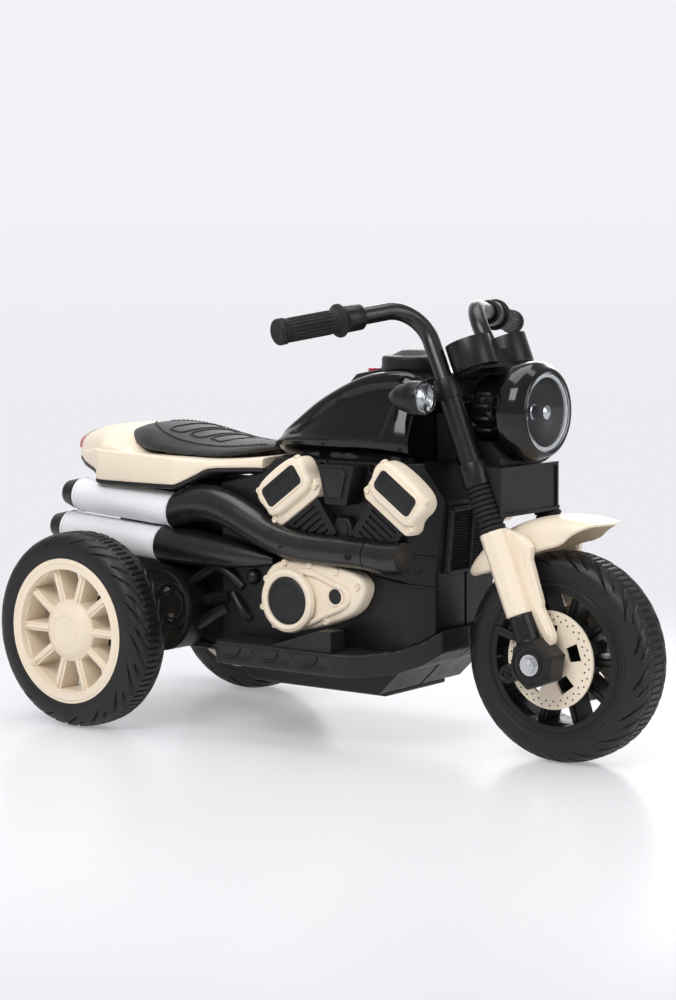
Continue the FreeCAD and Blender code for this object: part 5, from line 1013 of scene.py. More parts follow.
def stuff(piece):
    """Swell a pad by cloth pressure, with its flat underside held."""
    rest = [vertex.co.copy() for vertex in piece.data.vertices]
    low = min(point.z for point in rest) + SEAT_VOXEL * 2
    under = [v.index for v in piece.data.vertices if v.normal.z < FLAT_NORMAL or v.co.z < low]
    piece.vertex_groups.new(name="held").add(under, 1.0, "REPLACE")
    cloth = piece.modifiers.new("stuffing", "CLOTH")
    cloth.settings.use_pressure = True
    cloth.settings.uniform_pressure_force = SEAT_PRESSURE
    cloth.settings.vertex_group_mass = "held"
    cloth.settings.effector_weights.gravity = 0
    cloth.point_cache.frame_end = SEAT_FRAMES
    scene = bpy.context.scene
    for number in range(1, SEAT_FRAMES + 1):
        scene.frame_set(number)
    apply_all(piece)
    for vertex, start in zip(piece.data.vertices, rest):
        move = vertex.co - start
        if move.length > SEAT_CAP:
            vertex.co = start + move.normalized() * SEAT_CAP
    scene.frame_set(1)


def draw_in_seat(point, low, high):
    """The seat's rear end narrowed to a round and its underside lifted towards the tail's rise."""
    along = soft_step(MIDDLE.x + SEAT_TAPER_START - point.x, SEAT_TAPER_RUN / 2, SEAT_TAPER_RUN)
    depth = (high.z - point.z) / (high.z - low.z)
    return Vector((point.x, point.y * (1 - SEAT_TAPER_share * along), point.z + SEAT_LIFT * along * depth))


def make_seat():
    """The padded seat."""
    seat = copy_of("seat_pad", "seat_cushion")
    low, high = (Vector(corner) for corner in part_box("seat_pad"))
    centre = Vector(((low.x + high.x) / 2, 0, low.z))
    for vertex in seat.data.vertices:
        vertex.co = draw_in_seat(centre + (vertex.co - centre) * SEAT_SHRINK, low, high)
    soften(seat, SEAT_VOXEL, SEAT_ROUNDS)
    stuff(seat)
    seat.modifiers.new("soft", "SUBSURF").levels = 1
    apply_all(seat)
    finish_piece(seat, "seat_leather", "chassis", ["seat_pad"])
    add_seat_lines(seat, low, high)


def stitch_line(low, high):
    """Half of the stitched line from above: along, and distance from the middle."""
    line = []
    for k in range(STITCH_LINE_STEPS + 1):
        t = k / STITCH_LINE_STEPS
        x = low.x + STITCH_INSET * STITCH_REAR_share + (high.x - low.x - STITCH_INSET * 2) * t
        turn = math.pi * min(1.0, t * STITCH_ROUND_GAIN + STITCH_ROUND_START) / 2
        width = (high.y - STITCH_INSET) * min(1.0, math.sin(turn) ** STITCH_ROUND_POWER)
        line.append((x, width * (1 - STITCH_NARROW_share * t ** 3)))
    return line


def add_seat_lines(seat, low, high):
    """A stitched line round the pad and three plain raised oblongs on its middle, laid on its skin."""
    skin = BVHTree.FromObject(seat, bpy.context.evaluated_depsgraph_get())
    length = high.x - low.x

    def on_skin(x, y, lift):
        """A place on the seat's skin, found from above."""
        spot = skin.ray_cast(Vector((x, y, high.z + length)), -UP)[0]
        return None if spot is None else spot + UP * lift

    thread = Sketch()
    groove = Sketch()
    for sign in SIDES.values():
        found = [on_skin(x, sign * y, STITCH_RADIUS * SEAM_LIFT_share) for x, y in stitch_line(low, high)]
        spots = [spot for spot in found if spot is not None]
        groove.tube(spots, STITCH_RADIUS * SEAM_share, LINE_SIDES)
        walked = 0.0
        for a, b in zip(spots, spots[1:]):
            walked += (b - a).length
            if walked >= STITCH_PITCH:
                walked = 0.0
                way = (b - a).normalized() * STITCH_LENGTH / 2
                path = [b + way * along + UP * STITCH_RADIUS * up for along, up, _ in STITCH_shares]
                thread.tube(path, [STITCH_RADIUS * size for _, _, size in STITCH_shares], LINE_SIDES)
    ribs = Sketch()
    for place, reach in SEAT_PANELS:
        loop = []
        for k in range(SEAT_PANEL_TURNS + 1):
            turn = TURN * k / SEAT_PANEL_TURNS
            parts = (math.cos(turn), math.sin(turn))
            along, across = [math.copysign(abs(part) ** SEAT_PANEL_POWER, part) for part in parts]
            x = low.x + length * place + SEAT_PANEL_HALF * along
            loop.append(on_skin(x, reach * across, SEAT_LINE / 4))
        ribs.tube(loop, SEAT_LINE, LINE_SIDES)
    groove.finish("seat_seam", "black_soft", "chassis")
    thread.finish("seat_stitches", "rubber_black", "chassis")
    ribs.finish("seat_ribs", "seat_leather", "chassis")


# Front fender

FENDER_STATIONS = [
    # turn from level forward in quarter circles, radius, half width, skirt, share of the arch that is kept
    (1.600, 0.1500, 0.0120, 0.0040, 1.00), (1.585, 0.1505, 0.0220, 0.0080, 1.00),
    (1.530, 0.1515, 0.0320, 0.0170, 1.00), (1.440, 0.1530, 0.0390, 0.0270, 1.00),
    (1.300, 0.1560, 0.0415, 0.0320, 1.00), (1.110, 0.1598, 0.0430, 0.0360, 1.00),
    (0.966, 0.1615, 0.0430, 0.0310, 1.00), (0.912, 0.1625, 0.0430, 0.0280, 0.96),
    (0.880, 0.1630, 0.0428, 0.0275, 0.84), (0.848, 0.1637, 0.0425, 0.0270, 0.68),
    (0.814, 0.1646, 0.0420, 0.0265, 0.49), (0.780, 0.1659, 0.0414, 0.0260, 0.27),
    (0.764, 0.1667, 0.0410, 0.0258, 0.13), (0.758, 0.1670, 0.0410, 0.0258, 0.04),
]
FENDER_STEPS = 8
FENDER_WALL = 0.0026
FENDER_SECTION_shares = [(0.0, 0.0), (0.45, 0.02), (0.76, 0.12), (0.94, 0.34), (1.0, 0.62), (1.0, 1.0)]
FENDER_SECTION_STEPS = 4
FENDER_TAB = metres([(-8, -6), (8, -6), (8, 8), (-8, 8)])
FENDER_TAB_RUN = (0.036, 0.0442)
FENDER_TAB_HEIGHT = 0.144
FENDER_TAB_EDGE = 0.001


def first_stretch(points, reach):
    """The first share of a line, with as many points as the whole."""
    found = []
    for k in range(len(points)):
        low = min(int(k * reach), len(points) - 2)
        found.append(points[low].lerp(points[low + 1], k * reach - low))
    return found


def make_fender():
    """A curved sheet over the front wheel with its side skirts, cut to an open visor in front."""
    rings = []
    for (turn, radius, half), (skirt, reach) in smooth_stations(FENDER_STATIONS, FENDER_STEPS):
        out = wheel_way(turn * TURN / 4)
        corners = [Vector((half * a, -skirt * d)) for a, d in FENDER_SECTION_shares]
        section = smooth(corners, FENDER_SECTION_STEPS)
        section = first_stretch(section, min(reach, 1.0))[::-1]
        outer = section + [Vector((-p.x, p.y)) for p in reversed(section[:-1])]
        inner = [Vector((p.x * (1 - FENDER_WALL / half), p.y - FENDER_WALL)) for p in reversed(outer)]
        rings.append([FRONT_AXLE + ACROSS * p.x + out * (radius + p.y) for p in outer + inner])
    form = Sketch()
    form.grid(rings)
    inside, outside = FENDER_TAB_RUN
    for sign in SIDES.values():
        tab = [on_fork(x - LEG_SETBACK, sign * inside, FENDER_TAB_HEIGHT + z) for x, z in FENDER_TAB]
        form.plate(tab, ACROSS * sign * (outside - inside), FENDER_TAB_EDGE)
    form.finish("front_fender_skin", "cream", "steering", ["front_fender"])


# Screws, bosses and rings on the bike's sides

SCREW_STAND = 0.0008
BOLT_STAND = 0.0012
SCREW_shares = [
    # shares of the stand, and of the radius
    (-2.0, 1.2), (1.0, 1.1), (1.3, 0.98), (1.0, 0.86), (-0.5, 0.8), (-0.5, 0.6), (0.5, 0.52), (0.7, 0.0),
]
SCREW_SLOT_shares = (0.4, 0.09, 0.5)
BOSS_RADIUS = 0.0038
BOSS_RISE = 0.0030
BOSS_shares = [
    # shares of the rise, and of the radius
    (-1.0, 1.25), (0.0, 1.1), (0.7, 1.0), (1.0, 0.85), (1.0, 0.5), (0.55, 0.42), (0.55, 0.0),
]


def add_screw(form, centre, axis, radius, stand=SCREW_STAND):
    """A raised ring with a cross-slotted screw head inside."""
    form.lathe([(stand * out, radius * size) for out, size in SCREW_shares], centre, axis, 24)
    along, side, other = axes_about(axis)
    reach, half, rise = SCREW_SLOT_shares
    head = centre + along * stand * rise
    for way in (side * radius * reach, other * radius * reach):
        add_bar(form, head - way, head + way, along, radius * half, stand * rise)


def add_boss(form, centre, axis):
    """A small round pillar with a hollow top."""
    form.lathe([(BOSS_RISE * up, BOSS_RADIUS * size) for up, size in BOSS_shares], centre, axis, 20)


def side_outline(points, y, side):
    """Points of a side view, set on an upright plane at one side."""
    return [at_side(x, y, z, side) for x, z in points]


CRANK = (0.058, 0.190)
CYLINDER_ANGLE = math.radians(35.5)
LEANS = (-1, 1)


def on_cylinder(lean, along, out):
    """A place along one cylinder's line from the crank, in the side view."""
    up = (lean * math.sin(CYLINDER_ANGLE), math.cos(CYLINDER_ANGLE))
    return CRANK[0] + up[0] * along + up[1] * out, CRANK[1] + up[1] * along - up[0] * out


HEADER_SCREWS = [
    # along, out, height, and how far the screw looks up
    (-0.1733, 0.1085, 0.2790, 0.70), (-0.1974, 0.1045, 0.2345, 0.40),
    (-0.0203, 0.1185, 0.2376, 0.35), (0.0785, 0.1188, 0.2301, 0.0),
]
AIR_BOLTS = metres([(20, 328.5), (92.5, 328.5)])
AIR_BOLT_FACE = 0.0845
COVER_BOSSES = metres([
    (-24.4, 215), (13, 214.5), (51.2, 209), (82.5, 193.6), (37.4, 149.5), (-40, 139.5), (-57.5, 160),
    (-52, 194),
])
COVER_OUTLINE = metres([
    (-46.5, 209.5), (-27.4, 217), (12.2, 218), (50.5, 214.3), (80, 207), (91.5, 194.2), (86.4, 176.4),
    (71.8, 160), (36.6, 144.8), (-2.1, 135.5), (-30.7, 133.5), (-48.9, 141.5), (-57.8, 158.7), (-60, 179.4),
    (-55.8, 197.7),
])
COVER_FOOT = 0.085
COVER_EDGE = 0.0055
COVER_RIB = metres([
    (-4, 206), (20, 204), (46.1, 195.2), (63.5, 189.5), (69, 180), (63, 170), (40, 159), (16.1, 147.6),
    (-4, 139),
])
COVER_RIB_RADIUS = 0.0038
COVER_FACE = 0.105
HEAD_BOSSES = metres([
    # along the cylinder, across it, and out
    (157, 34.5, 105.5), (117, 36.5, 103), (157, -34.5, 105.5), (117, -36.5, 103),
])
HEAD_FACE = 0.1105
HEAD_FOOT = 0.0850
HEAD_DOME = metres([
    (116.5, -24), (123, -37), (133, -38.5), (146, -41.2), (156, -38.5), (162.5, -28), (165, -10), (165, 10),
    (162.5, 28), (156, 38.5), (146, 41.2), (133, 38.5), (123, 37), (116.5, 24),
])
HEAD_BAND = metres([
    (106.8, -35), (106.8, 35), (111, 40), (118, 41.5), (124, 39.5), (131, 36.5), (131, -36.5), (124, -39.5),
    (118, -41.5), (111, -40),
])
GEARBOX_FACE = 0.104
GEARBOX_SCREWS = metres([(-211.7, 166.3), (-205.3, 134.4)])
SCREW_RADIUS = 0.0042
AIR_BOLT_RADIUS = 0.0063


def make_screws():
    """Screws on headers and gearboxes, and cream bosses on the covers."""
    for side, sign in SIDES.items():
        outward = ACROSS * sign
        dark = Sketch()
        for x, y, z, lift in HEADER_SCREWS:
            add_screw(dark, at_side(x, y, z, side), outward + UP * lift, SCREW_RADIUS)
        for x, z in AIR_BOLTS:
            add_screw(dark, at_side(x, AIR_BOLT_FACE, z, side), outward, AIR_BOLT_RADIUS, BOSS_RISE)
        dark.finish(f"side_screws_{side}", "black_matte", "chassis")
        bosses = Sketch()
        for x, z in COVER_BOSSES:
            add_boss(bosses, at_side(x, COVER_FACE, z, side), outward)
        for lean in LEANS:
            for along, across, face in HEAD_BOSSES:
                x, z = on_cylinder(lean, along, across)
                add_boss(bosses, at_side(x, face, z, side), outward)
        bosses.finish(f"cover_bosses_{side}", "cream", "chassis")
        bright = Sketch()
        for x, z in GEARBOX_SCREWS:
            add_screw(bright, at_side(x, GEARBOX_FACE, z, side), outward, SCREW_RADIUS)
        bright.finish(f"gearbox_screws_{side}", "steel", "chassis")


# Engine dress: rings and domes on the covers, frames on the heads, panels between the cylinders

DISC_PLACE = (-0.0160, 0.1710)
DISC_FACE = 0.112
DISC_RADIUS = 0.0278
DISC_DOME = [
    # height, and share of the radius
    (-0.0005, 1.0), (0.0010, 1.0), (0.0024, 0.93), (0.0034, 0.6), (0.0038, 0.0),
]
DISC_RING = (0.0330, 0.0056)
PORT_PLACE = (0.0500, 0.1800)
PORT_RADIUS = 0.0088
PORT_DOME = [(-0.0005, 1.0), (0.0006, 0.9), (0.0010, 0.0)]
PORT_RING = (0.0106, 0.0018)
ARCH = metres([(38.5, 244), (65.5, 244), (65.5, 262), (60, 271.5), (44, 271.5), (38.5, 262)])
ARCH_MIDDLE = (0.0520, 0.2570)
ARCH_SHRINK = 0.62
SMALL_ARCH = [[mid + (part - mid) * ARCH_SHRINK for part, mid in zip(point, ARCH_MIDDLE)] for point in ARCH]
AIR_PANEL = metres([(47, 296), (65, 296), (72, 323), (68, 328), (44, 328), (40, 323)])
ENGINE_PANELS = [
    # outline, distance out, depth and edge
    (ARCH, 0.0838, 0.0100, 0.0025), (SMALL_ARCH, 0.0933, 0.0022, 0.0010), (AIR_PANEL, 0.1115, 0.0028, 0.0014),
]
HEAD_PLATES = [
    # outline, steps between its points, face and edge
    (HEAD_DOME, 4, HEAD_FACE, 0.0065), (HEAD_BAND, 1, 0.1030, 0.0025),
]
HEAD_FRAME = (0.0310, 0.0140)
HEAD_INSERT = (0.0300, 0.0130)
HEAD_INSERT_LINE = (0.0240, 0.0080)
HEAD_INSERT_RISE = 0.0009
HEAD_MIDDLE = 0.1415
HEAD_STEP = 0.0070
HEAD_RAIL = 0.0016
HEAD_CORNERS = [
    # side across, side along, and first quarter turn
    (1, 1, 0), (-1, 1, 1), (-1, -1, 2), (1, -1, 3),
]


def head_loop(lean, side, half_long, half_wide, y):
    """A rounded oblong line on a head cover."""
    loop = []
    for sign_out, sign_up, start in HEAD_CORNERS:
        middle = (sign_out * (half_long - HEAD_STEP), sign_up * (half_wide - HEAD_STEP))
        for out, up in arc(middle, HEAD_STEP, start, start + 1, 5):
            x, z = on_cylinder(lean, HEAD_MIDDLE + up, out)
            loop.append(at_side(x, y, z, side))
    return loop


def make_head_covers():
    """Cream head covers: a soft dome on a lower band with ears at its ends."""
    form = Sketch()
    for side, sign in SIDES.items():
        for lean in LEANS:
            for loop, steps, face, edge in HEAD_PLATES:
                points = [on_cylinder(lean, *point) for point in smooth_loop(loop, steps)]
                form.plate(side_outline(points, HEAD_FOOT, side), ACROSS * sign * (face - HEAD_FOOT), edge)
    form.finish("head_cover_skins", "cream", "chassis", ["head_covers"])


def make_engine_covers():
    """Cream engine covers: a rounded flange with a rib round the port."""
    form = Sketch()
    points = smooth_loop(COVER_OUTLINE, 4)
    for side, sign in SIDES.items():
        rise = ACROSS * sign * (COVER_FACE - COVER_FOOT)
        form.plate(side_outline(points, COVER_FOOT, side), rise, COVER_EDGE)
        form.tube(smooth(side_outline(COVER_RIB, COVER_FACE, side), 5), COVER_RIB_RADIUS, LINK_SIDES, ACROSS)
    form.finish("engine_cover_skins", "cream", "chassis", ["engine_covers"])


def make_engine_dress():
    """Rings and domed black discs on the covers, and dark panels between the cylinders."""
    for side, sign in SIDES.items():
        outward = ACROSS * sign
        disc = at_side(DISC_PLACE[0], DISC_FACE, DISC_PLACE[1], side)
        port = at_side(PORT_PLACE[0], COVER_FACE, PORT_PLACE[1], side)
        rings = Sketch()
        add_ring(rings, disc - outward * DISC_RING[1] / 3, outward, *DISC_RING)
        add_ring(rings, port, outward, *PORT_RING, 40)
        for lean in LEANS:
            rings.hoop(head_loop(lean, side, *HEAD_FRAME, HEAD_FACE), HEAD_RAIL, outward)
        rings.finish(f"engine_rings_{side}", "cream", "chassis")
        dark = Sketch()
        dark.dome(DISC_DOME, DISC_RADIUS, disc, outward, 64)
        for lean in LEANS:
            insert = head_loop(lean, side, *HEAD_INSERT, HEAD_FACE - HEAD_INSERT_RISE)
            dark.plate(insert, outward * HEAD_INSERT_RISE * 2, HEAD_INSERT_RISE)
            line = head_loop(lean, side, *HEAD_INSERT_LINE, HEAD_FACE + HEAD_INSERT_RISE)
            dark.hoop(line, HEAD_INSERT_RISE, outward)
        dark.dome(PORT_DOME, PORT_RADIUS, port, outward, 32)
        for outline, face, depth, edge in ENGINE_PANELS:
            dark.plate(side_outline(outline, face, side), outward * depth, edge)
        dark.finish(f"engine_panels_{side}", "black_soft", "chassis")


# Gearbox rings, links and nose lines

GEARBOX_RINGS = metres([
    # along, height, radius and thickness
    (-224.8, 145.4, 47, 2.2), (-203, 150, 27, 2.8), (-203, 150, 17, 1.8),
])
LINK_SIDES = 14
LINKS = metres([
    # the bar's radius, then points along, out and height
    (6.2, (-186, 86, 178), (-160, 88, 193), (-142, 89, 200), (-124, 88, 192), (-106, 84, 177)),
    (5.5, (-120, 86, 168), (-113, 88, 160), (-104, 88, 149), (-96, 83, 140)),
    (7, (-186, 80, 124), (-170, 84, 130), (-150, 84, 142), (-132, 82, 150)),
    (8.5, (-186, 74, 150), (-160, 76, 158), (-128, 80, 164)),
])
LINK_BALL = (-0.088, 0.086, 0.191)
LINK_BALL_RADIUS = 0.0095
LINK_BALL_STEPS = 12
NOSE_LINES = metres([
    [(88, 84.2, 238.5), (112, 84.2, 235.5), (137, 84.2, 232), (152, 66.8, 229.5), (160, 57.4, 228.3)],
    [(88, 84.2, 204.5), (112, 84.2, 201.5), (137, 84.2, 198), (152, 66.8, 194.5), (160, 57.4, 193)],
    [(88, 84.2, 238.5), (86.5, 84.2, 221.5), (88, 84.2, 204.5)],
])
NOSE_LINE = 0.0019
NOSE_BOLT = (0.1465, 0.0735, 0.2130)
NOSE_BOLT_shares = (0.76, 0.65)


def make_side_forms():
    """Rings on the gearboxes, links ahead of them and raised lines on the nose."""
    turns = [math.pi * (k / LINK_BALL_STEPS - 0.5) for k in range(LINK_BALL_STEPS + 1)]
    ball = [(LINK_BALL_RADIUS * math.sin(t), LINK_BALL_RADIUS * math.cos(t)) for t in turns]
    ahead, sideways = NOSE_BOLT_shares
    for side, sign in SIDES.items():
        outward = ACROSS * sign
        form = Sketch()
        for x, z, radius, thick in GEARBOX_RINGS:
            add_ring(form, at_side(x, GEARBOX_FACE, z, side), outward, radius, thick)
        for radius, *points in LINKS:
            form.tube(side_path(points, side, 6), radius, LINK_SIDES)
        form.lathe(ball, at_side(*LINK_BALL, side), outward, 28)
        for points in NOSE_LINES:
            form.tube(side_path(points, side, 5), NOSE_LINE)
        way = FORWARD * ahead + outward * sideways
        add_screw(form, at_side(*NOSE_BOLT, side), way, SCREW_RADIUS, BOLT_STAND)
        form.finish(f"side_forms_{side}", "black_matte", "chassis")


# Headlight

LAMP = MIDDLE + Vector((0.274, 0, 0.395))
BOWL = metres([
    (-5, 45), (-6.2, 39.6), (-8.5, 38.6), (-12, 36.4), (-17, 31), (-20.5, 20), (-21.5, 12), (-21.5, 0),
    (-24.5, 0), (-24.5, 13), (-23.5, 22.5), (-20, 33), (-13, 41), (-7.5, 45),
])
BULB = metres([
    (-22.5, 9.2), (-20, 9), (-19.6, 8.2), (-20, 7.4), (-6, 7), (-5.6, 8), (-2.6, 8), (-2, 7), (-0.4, 4.2),
    (0.4, 0),
])
LENS = metres([
    (-0.5, 45.2), (1.2, 44), (3, 36), (4.5, 23), (5.2, 0), (3.8, 0), (3.1, 22.6), (1.6, 35.5), (-0.2, 43),
    (-1.5, 45.2),
])
LAMP_RIM = metres([(-2, 47.8), (0.4, 47.2), (0.8, 46.2), (-0.4, 45.2), (-4, 45)])
LAMP_PIECES = [
    # name, material, profile, steps, closed profile, nodes that it stands for
    ("headlight_bowl", "black_soft", BOWL, 64, True, ["headlight_reflector"]),
    ("headlight_bulb", "reflector", BULB, 40, False, []),
    ("headlight_glass", "clear_lens", LENS, FINE_STEPS, True, ["headlight_lens"]),
    ("headlight_rim", "black_gloss", LAMP_RIM, FINE_STEPS, False, []),
]
LED_RING = (0.0418, 0.0024)
LED_DEPTH = 0.0042
LAMP_STAY = metres([(-72, -60), (-36, -60), (-36, -44), (-50, -33), (-72, -33)])
LAMP_STAY_HALF = 0.0440
LAMP_STAY_EDGE = 0.0030
LOUVRES = 4
LOUVRE_STEP = math.radians(20)
LOUVRE_RADIUS = 0.0412
LOUVRE_RUN = metres([(-72.5, 1.2), (-70, 2.8), (-56, 2.8), (-53.5, 1.2)])


def make_headlight():
    """A dark bowl, light ring and bulb behind a clear lens, and louvres and a stay on the housing."""
    for name, material, profile, steps, closed, nodes in LAMP_PIECES:
        form = Sketch()
        form.lathe(profile, LAMP, FORWARD, steps, closed)
        form.finish(name, material, "steering", nodes)
    ring = Sketch()
    add_ring(ring, LAMP - FORWARD * LED_DEPTH, FORWARD, *LED_RING, FINE_STEPS)
    ring.finish("headlight_ring", "led", "steering")
    louvres = Sketch()
    for sign in SIDES.values():
        for k in range(LOUVRES):
            lift = LOUVRE_STEP * (k - (LOUVRES - 1) / 2)
            out = ACROSS * sign * math.cos(lift) + UP * math.sin(lift)
            base = LAMP + out * LOUVRE_RADIUS
            louvres.tube([base + FORWARD * x for x, _ in LOUVRE_RUN], [radius for _, radius in LOUVRE_RUN])
    stay = [LAMP + FORWARD * x + UP * z - ACROSS * LAMP_STAY_HALF for x, z in LAMP_STAY]
    louvres.plate(stay, ACROSS * LAMP_STAY_HALF * 2, LAMP_STAY_EDGE)
    louvres.finish("headlight_louvres", "black_matte", "steering")


# Turn signals

SIGNAL_PLACE = (0.182, 0.112, 0.414)
SIGNAL_RADIUS = 0.0175
SIGNAL_RINGS = 5
SIGNAL_DOME = (0.0088, 0.0042)
SIGNAL_DOME_share = 0.95
SIGNAL_RIM = [
    # height, and share of the radius
    (0.0010, 0.99), (0.0040, 1.0),
]
SIGNAL_BACK = [(0.0034, 0.0), (0.0010, 0.9)]
SIGNAL_DISH = (0.0004, 0.0007)
SIGNAL_DISH_share = 0.92
SIGNAL_RIPPLE = 0.0005
SIGNAL_COLLAR = (0.0184, 0.0016)


def make_signals():
    """Clear ringed lenses over bright dishes, each in a raised collar."""
    lens = list(SIGNAL_RIM)
    count = SIGNAL_RINGS * 4
    for k in range(count + 1):
        share = 1 - k / count
        height = SIGNAL_DOME[0] - SIGNAL_DOME[1] * share ** 2 + SIGNAL_RIPPLE * math.cos(TURN * k / 4)
        lens.append((height, SIGNAL_DOME_share * share))
    floor, wave = SIGNAL_DISH
    count = SIGNAL_RINGS * 2
    dish = [(floor + wave * (k % 2), SIGNAL_DISH_share * (1 - k / count)) for k in range(count + 1)]
    lenses = Sketch()
    dishes = Sketch()
    collars = Sketch()
    for side in SIDES:
        face = at_side(*SIGNAL_PLACE, side)
        lenses.dome(lens + SIGNAL_BACK, SIGNAL_RADIUS, face, FORWARD, 48)
        dishes.dome(dish, SIGNAL_RADIUS, face, FORWARD, 24)
        add_ring(collars, face, FORWARD, *SIGNAL_COLLAR)
    lenses.finish("turn_signal_glass", "clear_lens", "steering", ["turn_signal_lenses"])
    dishes.finish("turn_signal_dishes", "reflector", "steering")
    collars.finish("turn_signal_collars", "black_gloss", "steering")


# Grips

BAR_END = (0.072, 0.232, 0.489)
BAR_CORNER = (0.131, 0.050, 0.515)
GRIP_RIBS = 20
GRIP_RIB_RISE = 0.0007
GRIP_RADIUS = 0.0131
GRIP_RUN = (0.0090, 0.0720)
GRIP_RUN_STEPS = 12
GRIP_END = metres([(-2.8, 0), (-3, 4), (-2.4, 4.5), (-2.8, 12), (-1.2, 14.2)])
GRIP_END_RINGS = 3
GRIP_RING_PITCH = 0.0027
GRIP_RING = metres([(0, 14.8), (1.6, 14.8), (2.1, 13.8)])
GRIP_FLANGE = metres([
    (73.5, 14.2), (75.5, 14.2), (76.5, 15), (78.5, 18), (80, 19), (82, 19), (82.8, 18), (82.9, 15),
    (82.9, 10.2),
])


def make_grips():
    """Rubber grips with lengthwise ribs, a ringed end and a round flange."""
    profile = list(GRIP_END)
    for k in range(GRIP_END_RINGS):
        profile += [(distance + GRIP_RING_PITCH * k, radius) for distance, radius in GRIP_RING]
    first = len(profile)
    for k in range(GRIP_RUN_STEPS):
        profile.append((GRIP_RUN[0] + (GRIP_RUN[1] - GRIP_RUN[0]) * k / (GRIP_RUN_STEPS - 1), GRIP_RADIUS))
    last = len(profile) - 1
    profile += GRIP_FLANGE

    def ribs(number, angle):
        """Height of the ribs round the grip, only along its run."""
        return GRIP_RIB_RISE * math.cos(GRIP_RIBS * angle) if first < number < last else 0.0

    form = Sketch()
    for side in SIDES:
        end = at_side(*BAR_END, side)
        form.lathe(profile, end, at_side(*BAR_CORNER, side) - end, GRIP_RIBS * 8, wobble=ribs)
    form.finish("grip_rubbers", "rubber_black", "steering", ["grips"])


# Radiator grille

GRILLE_FOOT = Vector((0.1602, 0, 0.208))
GRILLE_LEAN = math.radians(5.3)
GRILLE_HALF = 0.044
GRILLE_HEIGHT = 0.078
GRILLE_SLATS = 22
GRILLE_BORDER = 0.0045
GRILLE_BACK = 0.003
GRILLE_RAIL = 0.0026
GRILLE_RAIL_SIDES = 12
GRILLE_RAIL_LIFT = 0.0012
GRILLE_BAR = 0.00208
GRILLE_BAR_LIFT = 0.0018
GRILLE_GAP = 0.0002
GRILLE_BACK_EDGE = 0.0005
GRILLE_CORNERS = [(-1, 0), (1, 0), (1, 1), (-1, 1)]
SLAT_SECTION = metres([(-0.7, 2.2), (0.5, 2.6), (1.4, 5.6), (1, 6.2), (0.2, 5.6), (-1, 2.6)])


def make_grille():
    """A round-edged border with fine slats and a bar down the middle."""
    up = Vector((math.sin(GRILLE_LEAN), 0, math.cos(GRILLE_LEAN)))
    out = Vector((up.z, 0, -up.x))

    def spot(across, height, depth):
        """A place on the grille's leaning face."""
        return MIDDLE + GRILLE_FOOT + ACROSS * across + up * height + out * depth

    form = Sketch()
    back = [spot(a * GRILLE_HALF, h * GRILLE_HEIGHT, GRILLE_GAP) for a, h in GRILLE_CORNERS]
    form.plate(back, out * GRILLE_BACK, GRILLE_BACK_EDGE)
    half = GRILLE_HALF - GRILLE_RAIL
    tall = GRILLE_HEIGHT - 2 * GRILLE_RAIL
    face = GRILLE_BACK + GRILLE_RAIL_LIFT
    loop = [spot(a * half, GRILLE_RAIL + h * tall, face) for a, h in GRILLE_CORNERS]
    for a, b in zip(loop, loop[1:] + loop[:1]):
        form.tube([a, a.lerp(b, 0.5), b], GRILLE_RAIL, GRILLE_RAIL_SIDES)
    bar = [spot(0, GRILLE_RAIL + tall * k / 2, GRILLE_BACK + GRILLE_BAR_LIFT) for k in range(3)]
    form.tube(bar, GRILLE_BAR, GRILLE_RAIL_SIDES)
    pitch = (GRILLE_HEIGHT - 2 * GRILLE_BORDER) / GRILLE_SLATS
    for k in range(GRILLE_SLATS):
        height = GRILLE_BORDER + pitch * (k + 0.5)
        form.grid([[spot(a, height + rise, depth) for rise, depth in SLAT_SECTION] for a in (-half, half)])
    form.finish("radiator_slats", "black_soft", "chassis", ["radiator_grille"])


# Mouldings with soft edges

MOULDINGS = {
    # node: voxel and rounds of relaxing
    "footboard_right": (0.0016, 14), "footboard_left": (0.0016, 14), "axle_carriers": (0.0010, 18),
    "dash_panel": (0.0014, 24), "fork_sliders": (0.0011, 12),
}
BOARD_OUT = 0.1388
BOARD_OVALS = metres([(-87, 114), (-30, 114), (28, 114)])
BOARD_OVAL_HALF = (0.020, 0.012)
BOARD_OVAL_STEPS = 16
BOARD_LINE = 0.0011


def make_mouldings():
    """Mouldings with their edges rounded, and half ovals on the footboards."""
    for node, (voxel, rounds) in MOULDINGS.items():
        piece = copy_of(node, f"{node}_skin")
        soften(piece, voxel, rounds)
        finish_piece(piece, FINISH.get(node, SLOT_OF[node]), BODY_OF[node], [node])
    ovals = Sketch()
    wide, tall = BOARD_OVAL_HALF
    turns = [math.pi * (1 + k / BOARD_OVAL_STEPS) for k in range(BOARD_OVAL_STEPS + 1)]
    for side in SIDES:
        for x, z in BOARD_OVALS:
            oval = [(x + wide * math.cos(t), z + tall * math.sin(t)) for t in turns]
            ovals.hoop(side_outline(oval, BOARD_OUT, side), BOARD_LINE, ACROSS)
    ovals.finish("footboard_ovals", "black_soft", "chassis")


# Brake disc holes, as painted shade

DISC_HOLE_ROWS = [(0.0465, 0.0), (0.0515, 0.5)]
DISC_HOLES = 30
DISC_HOLE_RADIUS = 0.0011
DISC_HOLE = [
    # height, and share of the radius
    (-0.0002, 1.0), (0.0001, 1.0), (0.00012, 0.0),
]
DISC_OUTER_FACE = 0.035


def make_disc_hole_shade():
    """Two staggered rows of small flat dark dots on each brake disc: painted shade standing for the holes."""
    form = Sketch()
    for sign in SIDES.values():
        for radius, shift in DISC_HOLE_ROWS:
            for k in range(DISC_HOLES):
                way = wheel_way(TURN * (k + shift) / DISC_HOLES)
                spot = FRONT_AXLE + ACROSS * sign * DISC_OUTER_FACE + way * radius
                # a flat dark dot barely proud of the face, painted shade where a hole would be
                form.dome(DISC_HOLE, DISC_HOLE_RADIUS, spot, ACROSS * sign, 10)
    form.finish("brake_disc_hole_shade", "black_soft", "front_wheel")


